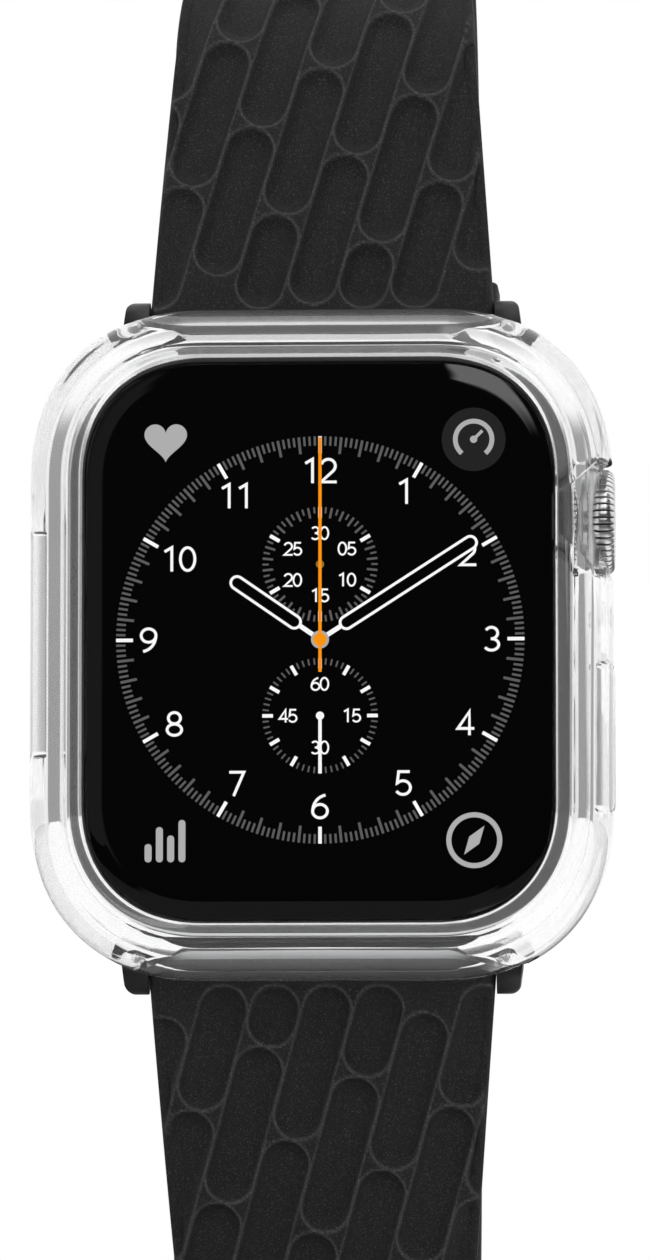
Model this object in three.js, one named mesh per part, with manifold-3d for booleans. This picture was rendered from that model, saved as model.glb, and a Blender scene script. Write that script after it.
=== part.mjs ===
// A rectangular smartwatch in a clear snap-on case, on a dimpled rubber strap.
// Millimetres. The face looks along -Y, the crown is at +X and twelve o'clock at +Z.
// The origin is the middle of the back crystal, on the face that touches the wrist.
// A depth is a distance forwards of that face, so a point at a depth has y = -depth.

import * as THREE from 'three';
import { mergeVertices } from 'three/addons/utils/BufferGeometryUtils.js';
import Module from 'manifold-3d';

const wasm = await Module();
wasm.setup();

// Clearances and facets
const seatGap = 0.1;
const runningGap = 0.2;
const overrun = 1;
const cornerFacets = 6;
const roundFacets = 32;
const smallFacets = 16;
const cornerExponent = 2.25;
const quarterTurn = Math.PI / 2;

// Watch housing
const watchLength = 44;
const watchWidth = 38;
const watchCorner = 10.8;
const backPlane = 1.2;
const widestPlane = 5.2;
const rimPlane = 9.2;
const backInset = 3.6;
const rimInset = 0.95;
const housingWall = 2.1;
const ledgeThickness = 0.5;
const housingFacets = 5;
const tipFacets = 5;

// Cover glass, display and their seal
const glassThickness = 1.05;
const gasketThickness = 0.25;
const gasketWidth = 1;
const panelThickness = 1;
const panelMargin = 0.7;
const plateThickness = 0.5;
const plateMargin = 0.3;
const glassEdgeShares = [[0, 0], [0.04, 0.3], [0.16, 0.52], [0.37, 0.73], [0.65, 0.9], [1, 1]];
const glassEdgeWidth = 2.55;

// Back cover, back crystal and what lies under them
const backCoverThickness = 1.1;
const backCoverInset = 1.1;
const backGasketThickness = 0.3;
const ledgeWidth = 0.9;
const backCoverRim = 1.7;
const crystalFlatRadius = 8;
const crystalThickness = 2.1;
const crystalEdgeShares = [[0.45, 0.16], [0.8, 0.5], [1, 1]];
const sensorThickness = 0.6;
const coilWidth = 2.6;
const coilGap = 0.6;
const coilThickness = 0.9;

// Battery, boards and motors
const batteryWidth = 16.8;
const batteryLength = 16.8;
const batteryThickness = 3.7;
const batteryAcross = 4;
const batteryAlong = -7.6;
const boardWidth = 22;
const boardLength = 14.4;
const boardThickness = 0.7;
const boardAcross = -3;
const boardAlong = 8.8;
const chipSide = 10.5;
const chipThickness = 1.3;
const hapticWidth = 8;
const hapticLength = 7;
const hapticThickness = 3.4;
const hapticAcross = -9;
const hapticAlong = -12.5;
const speakerWidth = 10;
const speakerLength = 8.6;
const speakerThickness = 3.2;
const speakerAcross = -10.4;
const speakerAlong = -3.9;
const boxCorner = 1;
const speakerSlotLength = 13;
const speakerSlotHeight = 1.2;
const meshThickness = 0.4;

// Crown, with its shaft, bush, encoder, plunger and switch
const crownAlong = 8.8;
const crownRadius = 3.75;
const crownThickness = 1.6;
const crownTeeth = 46;
const crownToothDepth = 0.16;
const crownToothShares = [[0, 0], [0.16, 1], [0.84, 1]];
const crownRounding = 0.35;
const crownSeatDepth = 0.9;
const crownTravel = 0.25;
const capRadius = 2.5;
const capThickness = 0.4;
const shaftRadius = 0.8;
const bushRadius = 1.45;
const encoderRadius = 1.6;
const encoderLength = 0.95;
const plungerRadius = 1.2;
const plungerLength = 0.5;
const crownSwitchSide = 3;
const crownSwitchLength = 1.6;
const shaftLength = 7;

// Side button with its switch, and the microphone hole
const buttonAlong = -6.85;
const buttonLength = 9.4;
const buttonHeight = 2.5;
const buttonDepth = 1.5;
const buttonProud = 0.1;
const buttonTravel = 0.3;
const stemRadius = 0.6;
const stemLength = 2;
const buttonSwitchSide = 2.6;
const buttonSwitchLength = 1.4;
const microphoneAlong = 1.5;
const microphoneRadius = 0.45;
const capsuleRadius = 1.1;
const capsuleLength = 1;

// Adapter that slides into the housing and carries a strap
const channelBackPlane = 2.8;
const channelFrontPlane = 6.4;
const channelDepth = 2.7;
const channelGap = 0.3;
const adapterEar = 1.95;
const adapterLean = 0.15;
const adapterTipRise = 2;
const adapterBarLength = 1.5;
const adapterCorner = 0.8;
const pinRadius = 0.75;
const pinTipRadius = 0.4;
const pinTipLength = 1.5;
const pinReach = 1.2;
const latchWidth = 5;
const latchThickness = 0.8;
const latchLength = 0.9;

// Release buttons on the back
const releaseWidth = 6;
const releaseHeight = 1.5;
const releasePlane = 1.55;
const releaseThickness = 0.85;
const releaseTravel = 0.4;
const releaseInset = 2.4;

// Strap
const strapWidth = 24;
const strapMidWidth = 21;
const strapEndWidth = 20;
const strapTaperLength = 20.5;
const strapTaperEnd = 34;
const strapThickness = 3;
const strapEndThickness = 2.6;
const strapEdge = 0.9;
const strapStartHeading = THREE.MathUtils.degToRad(5.5);
const strapArcHeading = THREE.MathUtils.degToRad(15);
const strapEndHeading = Math.PI;
const strapStartLength = 18;
const strapArcRadius = 19;
const strapFirstStep = 4.5;
const strapArcStep = 3;
const buckleStraightLength = 16;
const tailStraightLength = 26;
const tailRounding = 9;
const tailTipShare = 0.16;
const tailHoles = 7;
const tailHolePitch = 6.5;
const tailHoleStart = 13;
const tailHoleLength = 3.2;
const tailHoleWidth = 2;
const knuckleAngleShares = [0.2, 0.45, 0.72, 1];
const tailEdgeShare = 0.9;

// Buckle, its pin and tongue, and the keepers
const framePinReach = 1.3;
const frameLength = 13;
const frameStrapGap = 1;
const frameBar = 2;
const frameCorner = 2.6;
const frameThickness = 2.2;
const frameBevel = 0.35;
const bucklePinRadius = 0.65;
const bucklePinSeat = 0.6;
const tongueWidth = 2;
const tongueEyeRadius = 1.45;
const tongueThickness = 1.1;
const tongueOverhang = 0.7;
const tongueSlotLength = 4.4;
const keeperLength = 4.2;
const keeperWall = 1.2;
const keeperCorner = 1.6;
const fixedKeeperPlace = 2.6;
const slidingKeeperGap = 0.5;

// Clear case
const caseFit = 0.25;
const caseWall = 1.4;
const caseBackPlane = 1.7;
const caseLipReach = 2;
const caseLipRise = 1;
const caseGlassGap = 0.3;
const caseOuterShares = [
  [0.12, 0], [0.02, 0.16], [0, 0.43], [0.03, 0.67], [0.15, 0.83],
  [0.36, 0.93], [0.6, 0.985], [0.8, 1], [0.94, 0.985], [1, 0.95],
];
const caseInnerPlaneShare = 0.45;
const caseStrapGap = 0.35;
const caseStrapCorner = 1.2;
const caseSlopeRise = 2.45;
const caseSlopeReach = 1.53;
const caseHollowReach = 3.15;
const caseSpeakerLength = 16.2;
const caseSpeakerHeight = 4;
const caseCrownGap = 0.55;
const scallopRadius = 6.9;
const scallopFrontRadius = 8;
const scallopReach = 0.15;
const padLength = 10.1;
const padHeight = 3.4;
const padProud = 0.3;
const padGap = 0.3;
const caseMicrophoneRadius = 0.7;

// Places that follow from the sizes above
const halfWidth = watchWidth / 2;
const halfLength = watchLength / 2;
const backCoverFront = backPlane + backCoverThickness;
const coverInset = backInset + backCoverInset;
const crystalRadius = halfWidth - coverInset - backCoverRim - runningGap;
const backGasketBack = backCoverFront + seatGap;
const ledgeBack = backGasketBack + backGasketThickness + seatGap;
const cavityBack = ledgeBack + ledgeThickness;
const glassBack = rimPlane + gasketThickness + 2 * seatGap;
const glassFront = glassBack + glassThickness;
const panelFront = glassBack - seatGap;
const panelBack = panelFront - panelThickness;
const plateFront = panelBack - seatGap;
const plateBack = plateFront - plateThickness;
const pocketBack = plateBack - seatGap;
const innerFront = plateBack - seatGap;
const channelBase = halfLength - channelDepth;
const pinPlane = (channelBackPlane + channelFrontPlane) / 2;
const adapterHalfThickness = (channelFrontPlane - channelBackPlane) / 2 - channelGap;
const adapterBase = channelBase + channelGap;
const adapterInner = strapWidth / 2 + runningGap;
const adapterTip = adapterInner + adapterEar;
const adapterHalfWidth = adapterTip + adapterLean;
const pinAlong = halfLength + pinReach;
const caseFront = glassFront + caseLipRise;
const caseInset = caseFit + caseWall;
const caseCorner = watchCorner + caseInset;
const caseHalfWidth = halfWidth + caseInset;
const caseHalfLength = halfLength + caseInset;
const caseBand = caseInset + caseLipReach;
const strapOpeningFront = pinPlane + adapterHalfThickness + caseStrapGap;
const strapOpeningHalf = adapterHalfWidth + caseStrapGap;
const crownBack = halfWidth + crownTravel + seatGap;
const buttonFace = halfWidth + buttonProud;
const padBack = buttonFace + padGap;
const frameWidth = strapEndWidth + 2 * (frameStrapGap + frameBar);

// One named material for each finish
function finish(color, roughness, metalness) {
  return new THREE.MeshStandardMaterial({ color, roughness, metalness });
}

const finishes = {
  clear: new THREE.MeshStandardMaterial({
    color: 0xf2f4f5, roughness: 0.08, metalness: 0, transparent: true, opacity: 0.35,
  }),
  aluminium: finish(0xc9cccf, 0.32, 1),
  steel: finish(0xb9bcc0, 0.25, 1),
  blackMetal: finish(0x1b1b1d, 0.4, 0.8),
  glass: finish(0x050506, 0.05, 0),
  rubber: finish(0x262627, 0.7, 0),
  seal: finish(0x121213, 0.8, 0),
  display: finish(0x0a0a0c, 0.2, 0),
  ceramic: finish(0x17181a, 0.25, 0),
  board: finish(0x1d3b2a, 0.6, 0),
  chip: finish(0x2b2c2e, 0.5, 0),
  cell: finish(0x8d9196, 0.5, 0.3),
  copper: finish(0xb87333, 0.35, 1),
};

// A number of a geometry's indexed triangles, as triples of corners
function corners(geometry, triangle) {
  return [0, 1, 2].map((corner) => {
    const place = geometry.index.getX(3 * triangle + corner);
    return new THREE.Vector3().fromBufferAttribute(geometry.attributes.position, place);
  });
}

// The geometry with its faces pointing out of the body
function facingOut(geometry) {
  const index = geometry.index;
  let volume = 0;
  for (let triangle = 0; triangle < index.count / 3; triangle += 1) {
    const [a, b, c] = corners(geometry, triangle);
    volume += a.dot(b.cross(c));
  }
  if (volume < 0) {
    for (let start = 0; start < index.count; start += 3) {
      const kept = index.getX(start + 1);
      index.setX(start + 1, index.getX(start + 2));
      index.setX(start + 2, kept);
    }
  }
  return geometry;
}

// A closed body through rings of points, capped at both ends or joined end to end
function loft(rings, endless = false) {
  const count = rings[0].length;
  const points = rings.flat();
  const triangles = [];
  const runs = endless ? rings.length : rings.length - 1;
  for (let ring = 0; ring < runs; ring += 1) {
    const here = ring * count;
    const next = ((ring + 1) % rings.length) * count;
    for (let i = 0; i < count; i += 1) {
      const j = (i + 1) % count;
      triangles.push(here + i, next + i, next + j);
      triangles.push(here + i, next + j, here + j);
    }
  }
  if (!endless) {
    const lastStart = (rings.length - 1) * count;
    const ends = [[rings[0], 0, false], [rings.at(-1), lastStart, true]];
    for (const [ring, start, turned] of ends) {
      const middle = new THREE.Vector3();
      ring.forEach((point) => middle.add(point));
      points.push(middle.divideScalar(count));
      for (let i = 0; i < count; i += 1) {
        const j = (i + 1) % count;
        const pair = turned ? [start + j, start + i] : [start + i, start + j];
        triangles.push(points.length - 1, ...pair);
      }
    }
  }
  const geometry = new THREE.BufferGeometry().setFromPoints(points);
  geometry.setIndex(triangles);
  return facingOut(geometry);
}

// A rounded rectangle with softened corners, at a depth
function outline(half, long, radius, depth) {
  const points = [];
  for (let quarter = 0; quarter < 4; quarter += 1) {
    const right = quarter === 0 || quarter === 3 ? 1 : -1;
    const up = quarter < 2 ? 1 : -1;
    for (let step = 0; step <= cornerFacets; step += 1) {
      const part = quarter % 2 === 0 ? step / cornerFacets : 1 - step / cornerFacets;
      const angle = part * quarterTurn;
      const across = Math.abs(Math.cos(angle)) ** (2 / cornerExponent);
      const along = Math.abs(Math.sin(angle)) ** (2 / cornerExponent);
      const x = right * (half - radius + radius * across);
      const z = up * (long - radius + radius * along);
      points.push(new THREE.Vector3(x, -depth, z));
    }
  }
  return points;
}

// The watch's own outline drawn in by an inset, at a depth
function watchOutline(inset, depth) {
  return outline(halfWidth - inset, halfLength - inset, watchCorner - inset, depth);
}

// The clear case's outline drawn in by an inset, at a depth
function caseOutline(inset, depth) {
  return outline(caseHalfWidth - inset, caseHalfLength - inset, caseCorner - inset, depth);
}

// A plate with a softened outline between two depths
function slab(half, long, radius, back, front) {
  return loft([outline(half, long, radius, back), outline(half, long, radius, front)]);
}

// A frame between two softened outlines and two depths
function frameSlab(half, long, radius, width, back, front) {
  const inner = [half - width, long - width, radius - width];
  return loft([
    outline(half, long, radius, back),
    outline(half, long, radius, front),
    outline(...inner, front),
    outline(...inner, back),
  ], true);
}

// A flat shape drawn across and along the watch, pushed forwards from one depth to another
function plate(shape, back, front, bevel = 0) {
  const geometry = new THREE.ExtrudeGeometry(shape, {
    depth: front - back - 2 * bevel,
    bevelEnabled: bevel > 0,
    bevelSize: bevel,
    bevelThickness: bevel,
    bevelOffset: -bevel,
    bevelSegments: 1,
    curveSegments: smallFacets / 4,
  });
  return geometry.translate(0, 0, back + bevel).rotateX(quarterTurn);
}

// A flat shape drawn in depth and along the watch, pushed across from one x to another
function bar(shape, from, to) {
  const geometry = new THREE.ExtrudeGeometry(shape, {
    depth: to - from,
    bevelEnabled: false,
    curveSegments: smallFacets / 4,
  });
  const turn = new THREE.Matrix4().makeBasis(
    new THREE.Vector3(0, -1, 0),
    new THREE.Vector3(0, 0, 1),
    new THREE.Vector3(-1, 0, 0),
  );
  return geometry.translate(0, 0, -to).applyMatrix4(turn);
}

// A rectangle with round corners about a point
function roundedShape(width, height, radius, x = 0, y = 0) {
  const shape = new THREE.Shape();
  const right = x + width / 2;
  const top = y + height / 2;
  const left = x - width / 2;
  const bottom = y - height / 2;
  shape.moveTo(right, bottom + radius);
  shape.lineTo(right, top - radius);
  shape.absarc(right - radius, top - radius, radius, 0, quarterTurn);
  shape.lineTo(left + radius, top);
  shape.absarc(left + radius, top - radius, radius, quarterTurn, 2 * quarterTurn);
  shape.lineTo(left, bottom + radius);
  shape.absarc(left + radius, bottom + radius, radius, 2 * quarterTurn, 3 * quarterTurn);
  shape.lineTo(right - radius, bottom);
  shape.absarc(right - radius, bottom + radius, radius, 3 * quarterTurn, 4 * quarterTurn);
  return shape;
}

// A rod along X, at a depth and a height
function rod(radius, from, to, depth, along, facets = smallFacets) {
  const geometry = new THREE.CylinderGeometry(radius, radius, to - from, facets);
  return geometry.rotateZ(quarterTurn).translate((from + to) / 2, -depth, along);
}

// A round body about X from a profile of x and radius
function turned(profile, facets) {
  const points = profile.map(([x, radius]) => new THREE.Vector2(radius, x));
  return new THREE.LatheGeometry(points, facets).rotateZ(-quarterTurn);
}

// A round body about the middle of the watch, from a profile of radius and depth
function spun(profile) {
  const points = profile.map(([radius, depth]) => new THREE.Vector2(radius, -depth));
  return new THREE.LatheGeometry(points, roundFacets);
}

// A box between two corners
function block(low, high) {
  const size = high.clone().sub(low);
  const middle = high.clone().add(low).divideScalar(2);
  return new THREE.BoxGeometry(size.x, size.y, size.z).translate(middle.x, middle.y, middle.z);
}

// A geometry as a solid that can be joined and cut
function solid(geometry) {
  const bare = geometry.clone();
  bare.deleteAttribute('normal');
  bare.deleteAttribute('uv');
  const merged = mergeVertices(bare);
  const kept = [];
  for (let start = 0; start < merged.index.count; start += 3) {
    const [a, b, c] = [0, 1, 2].map((corner) => merged.index.getX(start + corner));
    if (a !== b && b !== c && c !== a) {
      kept.push(a, b, c);
    }
  }
  merged.setIndex(kept);
  facingOut(merged);
  return new wasm.Manifold(new wasm.Mesh({
    numProp: 3,
    vertProperties: new Float32Array(merged.attributes.position.array),
    triVerts: new Uint32Array(merged.index.array),
  }));
}

// One body with others cut away and joined on
function shaped(body, { cuts = [], joins = [], within = [] }) {
  let result = solid(body);
  within.forEach((limit) => { result = result.intersect(solid(limit)); });
  joins.forEach((join) => { result = result.add(solid(join)); });
  cuts.forEach((cut) => { result = result.subtract(solid(cut)); });
  const { vertProperties, triVerts } = result.getMesh();
  const geometry = new THREE.BufferGeometry();
  geometry.setAttribute('position', new THREE.BufferAttribute(vertProperties, 3));
  geometry.setIndex(new THREE.BufferAttribute(triVerts, 1));
  return geometry;
}

const group = new THREE.Group();

function addPiece(name, geometry, material, parent = group) {
  const mesh = new THREE.Mesh(geometry, material);
  mesh.name = name;
  parent.add(mesh);
  return mesh;
}

// The housing's inset from its widest outline, at a depth: a fuller curve towards the back
function housingInset(depth) {
  const forwards = depth > widestPlane;
  const reach = forwards ? rimPlane - widestPlane : widestPlane - backPlane;
  const most = forwards ? rimInset : backInset;
  const share = Math.min(1, Math.abs(depth - widestPlane) / reach);
  return most * (1 - Math.sqrt(1 - share * share));
}

// The cover glass's front at an inset from the housing's widest outline
function glassPlane(inset) {
  const share = (inset - rimInset) / glassEdgeWidth;
  let plane = glassBack;
  for (let i = 1; i < glassEdgeShares.length; i += 1) {
    const [from, low] = glassEdgeShares[i - 1];
    const [to, high] = glassEdgeShares[i];
    if (share >= from) {
      const part = Math.min(1, (share - from) / (to - from));
      plane = glassBack + glassThickness * (low + part * (high - low));
    }
  }
  return plane;
}

// Depths for the rings of the housing, closer together towards its rims
function housingPlanes() {
  const planes = [];
  for (let step = 0; step <= housingFacets; step += 1) {
    const angle = quarterTurn * (1 - step / housingFacets);
    planes.push(widestPlane - (widestPlane - backPlane) * Math.sin(angle));
  }
  for (let step = 1; step <= housingFacets; step += 1) {
    const angle = quarterTurn * (step / housingFacets);
    planes.push(widestPlane + (rimPlane - widestPlane) * Math.sin(angle));
  }
  return planes;
}

function housing() {
  const body = loft(housingPlanes().map((depth) => watchOutline(housingInset(depth), depth)));
  const pocketInset = rimInset + gasketWidth + seatGap;
  const pocket = loft([
    watchOutline(pocketInset, pocketBack),
    watchOutline(pocketInset, rimPlane + overrun),
  ]);
  const cavityHalfLength = channelBase - housingWall / 2;
  const cavityHalfWidth = halfWidth - housingWall;
  const cavityCorner = watchCorner - housingWall;
  const cavity = slab(cavityHalfWidth, cavityHalfLength, cavityCorner, cavityBack, pocketBack + seatGap);
  const seatInset = coverInset - runningGap;
  const seat = loft([watchOutline(seatInset, backPlane - overrun), watchOutline(seatInset, ledgeBack)]);
  const mouthInset = seatInset + ledgeWidth;
  const mouth = loft([
    watchOutline(mouthInset, backPlane),
    watchOutline(mouthInset, cavityBack + seatGap),
  ]);
  const channelShape = roundedShape(
    channelFrontPlane - channelBackPlane,
    2 * channelDepth,
    channelGap,
    pinPlane,
    halfLength,
  );
  const channel = bar(channelShape, -halfWidth - overrun, halfWidth + overrun);
  const lowerChannel = channel.clone().rotateY(Math.PI);
  const releaseShape = roundedShape(
    releaseWidth + 2 * runningGap,
    releaseHeight + 2 * runningGap,
    releaseHeight / 2,
    0,
    halfLength - releaseInset,
  );
  const release = plate(releaseShape, backPlane - overrun, channelBackPlane + seatGap);
  const lowerRelease = release.clone().rotateY(Math.PI);
  const crownBore = rod(bushRadius + seatGap, halfWidth - housingWall - overrun, halfWidth + overrun,
    widestPlane, crownAlong);
  const buttonShape = roundedShape(
    buttonHeight + 2 * runningGap,
    buttonLength + 2 * runningGap,
    buttonHeight / 2,
    widestPlane,
    buttonAlong,
  );
  const buttonPocket = bar(buttonShape, buttonFace - buttonDepth - runningGap - buttonTravel,
    halfWidth + overrun);
  const stemBore = rod(stemRadius + runningGap, halfWidth - housingWall - overrun, halfWidth,
    widestPlane, buttonAlong);
  const slotShape = roundedShape(
    speakerSlotHeight,
    speakerSlotLength,
    speakerSlotHeight / 2,
    widestPlane,
    0,
  );
  const speakerSlot = bar(slotShape, -halfWidth - overrun, -halfWidth + housingWall + overrun);
  const microphoneHole = rod(microphoneRadius, halfWidth - housingWall - overrun, halfWidth + overrun,
    widestPlane, microphoneAlong, smallFacets / 2);
  return shaped(body, {
    cuts: [
      pocket, cavity, seat, mouth, channel, lowerChannel, release, lowerRelease,
      crownBore, buttonPocket, stemBore, speakerSlot, microphoneHole,
    ],
  });
}

addPiece('watch_housing', housing(), finishes.aluminium);

// Cover glass with rounded edges, over its seal, the display and the display's plate
const glassRings = glassEdgeShares.map(([inwards, forwards]) => (
  watchOutline(rimInset + inwards * glassEdgeWidth, glassBack + forwards * glassThickness)
));
addPiece('front_glass', loft(glassRings), finishes.glass);
addPiece('glass_gasket', frameSlab(
  halfWidth - rimInset,
  halfLength - rimInset,
  watchCorner - rimInset,
  gasketWidth,
  rimPlane + seatGap,
  rimPlane + seatGap + gasketThickness,
), finishes.seal);
const panelInset = rimInset + gasketWidth + panelMargin;
addPiece('display_panel', loft([
  watchOutline(panelInset, panelBack),
  watchOutline(panelInset, panelFront),
]), finishes.display);
const plateInset = rimInset + gasketWidth + plateMargin;
addPiece('display_plate', loft([
  watchOutline(plateInset, plateBack),
  watchOutline(plateInset, plateFront),
]), finishes.steel);

// Back cover with its seal, and the domed crystal in its round hole
const coverBody = loft([watchOutline(coverInset, backPlane), watchOutline(coverInset, backCoverFront)]);
const crystalHole = new THREE.CylinderGeometry(
  crystalRadius + runningGap,
  crystalRadius + runningGap,
  2 * backCoverFront,
  roundFacets,
);
addPiece('back_cover', shaped(coverBody, { cuts: [crystalHole] }), finishes.ceramic);
addPiece('back_gasket', frameSlab(
  halfWidth - coverInset,
  halfLength - coverInset,
  watchCorner - coverInset,
  ledgeWidth - runningGap,
  backGasketBack,
  backGasketBack + backGasketThickness,
), finishes.seal);
const crystalProfile = [[0, 0], [crystalFlatRadius, 0]];
crystalEdgeShares.forEach(([outwards, forwards]) => {
  crystalProfile.push([
    crystalFlatRadius + outwards * (crystalRadius - crystalFlatRadius),
    forwards * backPlane,
  ]);
});
crystalProfile.push([crystalRadius, crystalThickness], [0, crystalThickness]);
addPiece('back_crystal', shaped(spun(crystalProfile), {}), finishes.ceramic);
const sensorBack = crystalThickness + seatGap;
const coilOuterRadius = crystalRadius - coilGap;
const coilInnerRadius = coilOuterRadius - coilWidth;
const sensorRadius = coilInnerRadius - coilGap;
addPiece('sensor_board', shaped(spun([
  [0, sensorBack],
  [sensorRadius, sensorBack],
  [sensorRadius, sensorBack + sensorThickness],
  [0, sensorBack + sensorThickness],
]), {}), finishes.board);
addPiece('charging_coil', shaped(spun([
  [coilInnerRadius, sensorBack],
  [coilOuterRadius, sensorBack],
  [coilOuterRadius, sensorBack + coilThickness],
  [coilInnerRadius, sensorBack + coilThickness],
  [coilInnerRadius, sensorBack],
]), {}), finishes.copper);

// Battery, boards, haptic motor and speaker, each hung from the display's plate
function addBox(name, width, length, front, thickness, across, along, material) {
  const geometry = slab(width / 2, length / 2, boxCorner, front - thickness, front);
  addPiece(name, geometry, material).position.set(across, 0, along);
}

addBox('battery', batteryWidth, batteryLength, innerFront, batteryThickness,
  batteryAcross, batteryAlong, finishes.cell);
addBox('logic_board', boardWidth, boardLength, innerFront, boardThickness,
  boardAcross, boardAlong, finishes.board);
addBox('processor_package', chipSide, chipSide, innerFront - boardThickness - seatGap, chipThickness,
  boardAcross, boardAlong, finishes.chip);
addBox('haptic_motor', hapticWidth, hapticLength, innerFront, hapticThickness,
  hapticAcross, hapticAlong, finishes.steel);
addBox('speaker_module', speakerWidth, speakerLength, innerFront, speakerThickness,
  speakerAcross, speakerAlong, finishes.chip);
const meshShape = roundedShape(
  speakerSlotHeight - 2 * seatGap,
  speakerSlotLength - 2 * seatGap,
  speakerSlotHeight / 2 - seatGap,
  widestPlane,
  0,
);
const meshOuter = -halfWidth + meshThickness;
addPiece('speaker_mesh', bar(meshShape, meshOuter, meshOuter + meshThickness), finishes.blackMetal);

// Microphone behind its hole in the housing
const capsuleTo = halfWidth - housingWall - seatGap;
const capsuleFrom = capsuleTo - capsuleLength;
addPiece('microphone', rod(
  capsuleRadius,
  capsuleFrom,
  capsuleTo,
  widestPlane,
  microphoneAlong,
), finishes.steel);

// Crown on its shaft, built about the shaft's axis
const crownAxis = new THREE.Group();
crownAxis.position.set(0, -widestPlane, crownAlong);
group.add(crownAxis);
const shaftOuter = crownBack + crownSeatDepth - seatGap;
const shaftInner = shaftOuter - shaftLength;

function crownRing(x, drawnIn) {
  const points = [];
  for (let tooth = 0; tooth < crownTeeth; tooth += 1) {
    crownToothShares.forEach(([around, out]) => {
      const angle = ((tooth + around) / crownTeeth) * 4 * quarterTurn;
      const radius = crownRadius - drawnIn - crownToothDepth * (1 - out);
      points.push(new THREE.Vector3(x, radius * Math.cos(angle), radius * Math.sin(angle)));
    });
  }
  return points;
}

const crownFront = crownBack + crownThickness;
const crownBody = loft([
  crownRing(crownBack, crownRounding),
  crownRing(crownBack + crownRounding, 0),
  crownRing(crownFront - crownRounding, 0),
  crownRing(crownFront, crownRounding),
]);
const capSeat = rod(capRadius + seatGap, crownFront - capThickness, crownFront + overrun, 0, 0, roundFacets);
const shaftSeat = rod(shaftRadius + seatGap, crownBack - overrun, crownBack + crownSeatDepth, 0, 0);
addPiece('crown_knob', shaped(crownBody, { cuts: [capSeat, shaftSeat] }), finishes.steel, crownAxis);
addPiece('crown_cap', rod(
  capRadius,
  crownFront - capThickness + seatGap,
  crownFront,
  0,
  0,
  roundFacets,
), finishes.steel, crownAxis);
const encoderTo = halfWidth - housingWall - seatGap - crownTravel;
const encoderFrom = encoderTo - encoderLength;
addPiece('crown_shaft', rod(shaftRadius, shaftInner, shaftOuter, 0, 0), finishes.steel, crownAxis);
const encoderBody = rod(encoderRadius, encoderFrom, encoderTo, 0, 0);
const encoderBore = rod(shaftRadius + seatGap, encoderFrom - overrun, encoderTo + overrun, 0, 0);
addPiece('crown_encoder', shaped(encoderBody, { cuts: [encoderBore] }), finishes.chip, crownAxis);
const bushFrom = halfWidth - housingWall;
const bushTo = halfWidth - crownTravel;
const bushBody = rod(bushRadius, bushFrom, bushTo, 0, 0);
const bushBore = rod(shaftRadius + seatGap, bushFrom - overrun, bushTo + overrun, 0, 0);
addPiece('crown_bush', shaped(bushBody, { cuts: [bushBore] }), finishes.copper, crownAxis);
const plungerTo = shaftInner - seatGap;
const plungerFrom = plungerTo - plungerLength;
addPiece('crown_plunger', rod(plungerRadius, plungerFrom, plungerTo, 0, 0), finishes.steel, crownAxis);
const crownSwitchTo = plungerFrom - crownTravel - seatGap;
addPiece('crown_switch', block(
  new THREE.Vector3(crownSwitchTo - crownSwitchLength, -crownSwitchSide / 2, -crownSwitchSide / 2),
  new THREE.Vector3(crownSwitchTo, crownSwitchSide / 2, crownSwitchSide / 2),
), finishes.chip, crownAxis);

// Side button with its stem, over its switch
const buttonShape = roundedShape(buttonHeight, buttonLength, buttonHeight / 2, 0, 0);
const sideButton = new THREE.Group();
sideButton.position.set(0, -widestPlane, buttonAlong);
group.add(sideButton);
const buttonBack = buttonFace - buttonDepth;
const stemEnd = buttonBack - stemLength;
addPiece('side_button', shaped(bar(buttonShape, buttonBack, buttonFace), {
  joins: [rod(stemRadius, stemEnd, buttonBack + seatGap, 0, 0)],
}), finishes.aluminium, sideButton);
const buttonSwitchTo = stemEnd - buttonTravel - seatGap;
addPiece('side_button_switch', block(
  new THREE.Vector3(buttonSwitchTo - buttonSwitchLength, -buttonSwitchSide / 2, -buttonSwitchSide / 2),
  new THREE.Vector3(buttonSwitchTo, buttonSwitchSide / 2, buttonSwitchSide / 2),
), finishes.chip, sideButton);

// Adapter seen from the front: a bar with two ears, its outer sides leaning in
function adapterPlan() {
  const top = pinAlong + adapterHalfThickness;
  const lean = top - adapterTipRise;
  const barTop = adapterBase + adapterBarLength;
  const shape = new THREE.Shape();
  shape.moveTo(adapterHalfWidth, adapterBase);
  shape.lineTo(adapterHalfWidth, lean);
  shape.lineTo(adapterTip, top - adapterCorner);
  shape.quadraticCurveTo(adapterTip, top, adapterTip - adapterCorner, top);
  shape.lineTo(adapterInner, top);
  shape.lineTo(adapterInner, barTop);
  shape.lineTo(-adapterInner, barTop);
  shape.lineTo(-adapterInner, top);
  shape.lineTo(-adapterTip + adapterCorner, top);
  shape.quadraticCurveTo(-adapterTip, top, -adapterTip, top - adapterCorner);
  shape.lineTo(-adapterHalfWidth, lean);
  shape.lineTo(-adapterHalfWidth, adapterBase);
  shape.closePath();
  return shape;
}

// Adapter seen from the side: rounded at its base and round about the pin
function adapterSide() {
  const radius = adapterHalfThickness;
  const soft = radius / 2;
  const shape = new THREE.Shape();
  shape.moveTo(pinPlane + radius, adapterBase + soft);
  shape.lineTo(pinPlane + radius, pinAlong);
  shape.absarc(pinPlane, pinAlong, radius, 0, 2 * quarterTurn);
  shape.lineTo(pinPlane - radius, adapterBase + soft);
  shape.absarc(pinPlane - radius + soft, adapterBase + soft, soft, 2 * quarterTurn, 3 * quarterTurn);
  shape.absarc(pinPlane + radius - soft, adapterBase + soft, soft, 3 * quarterTurn, 4 * quarterTurn);
  return shape;
}

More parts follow.
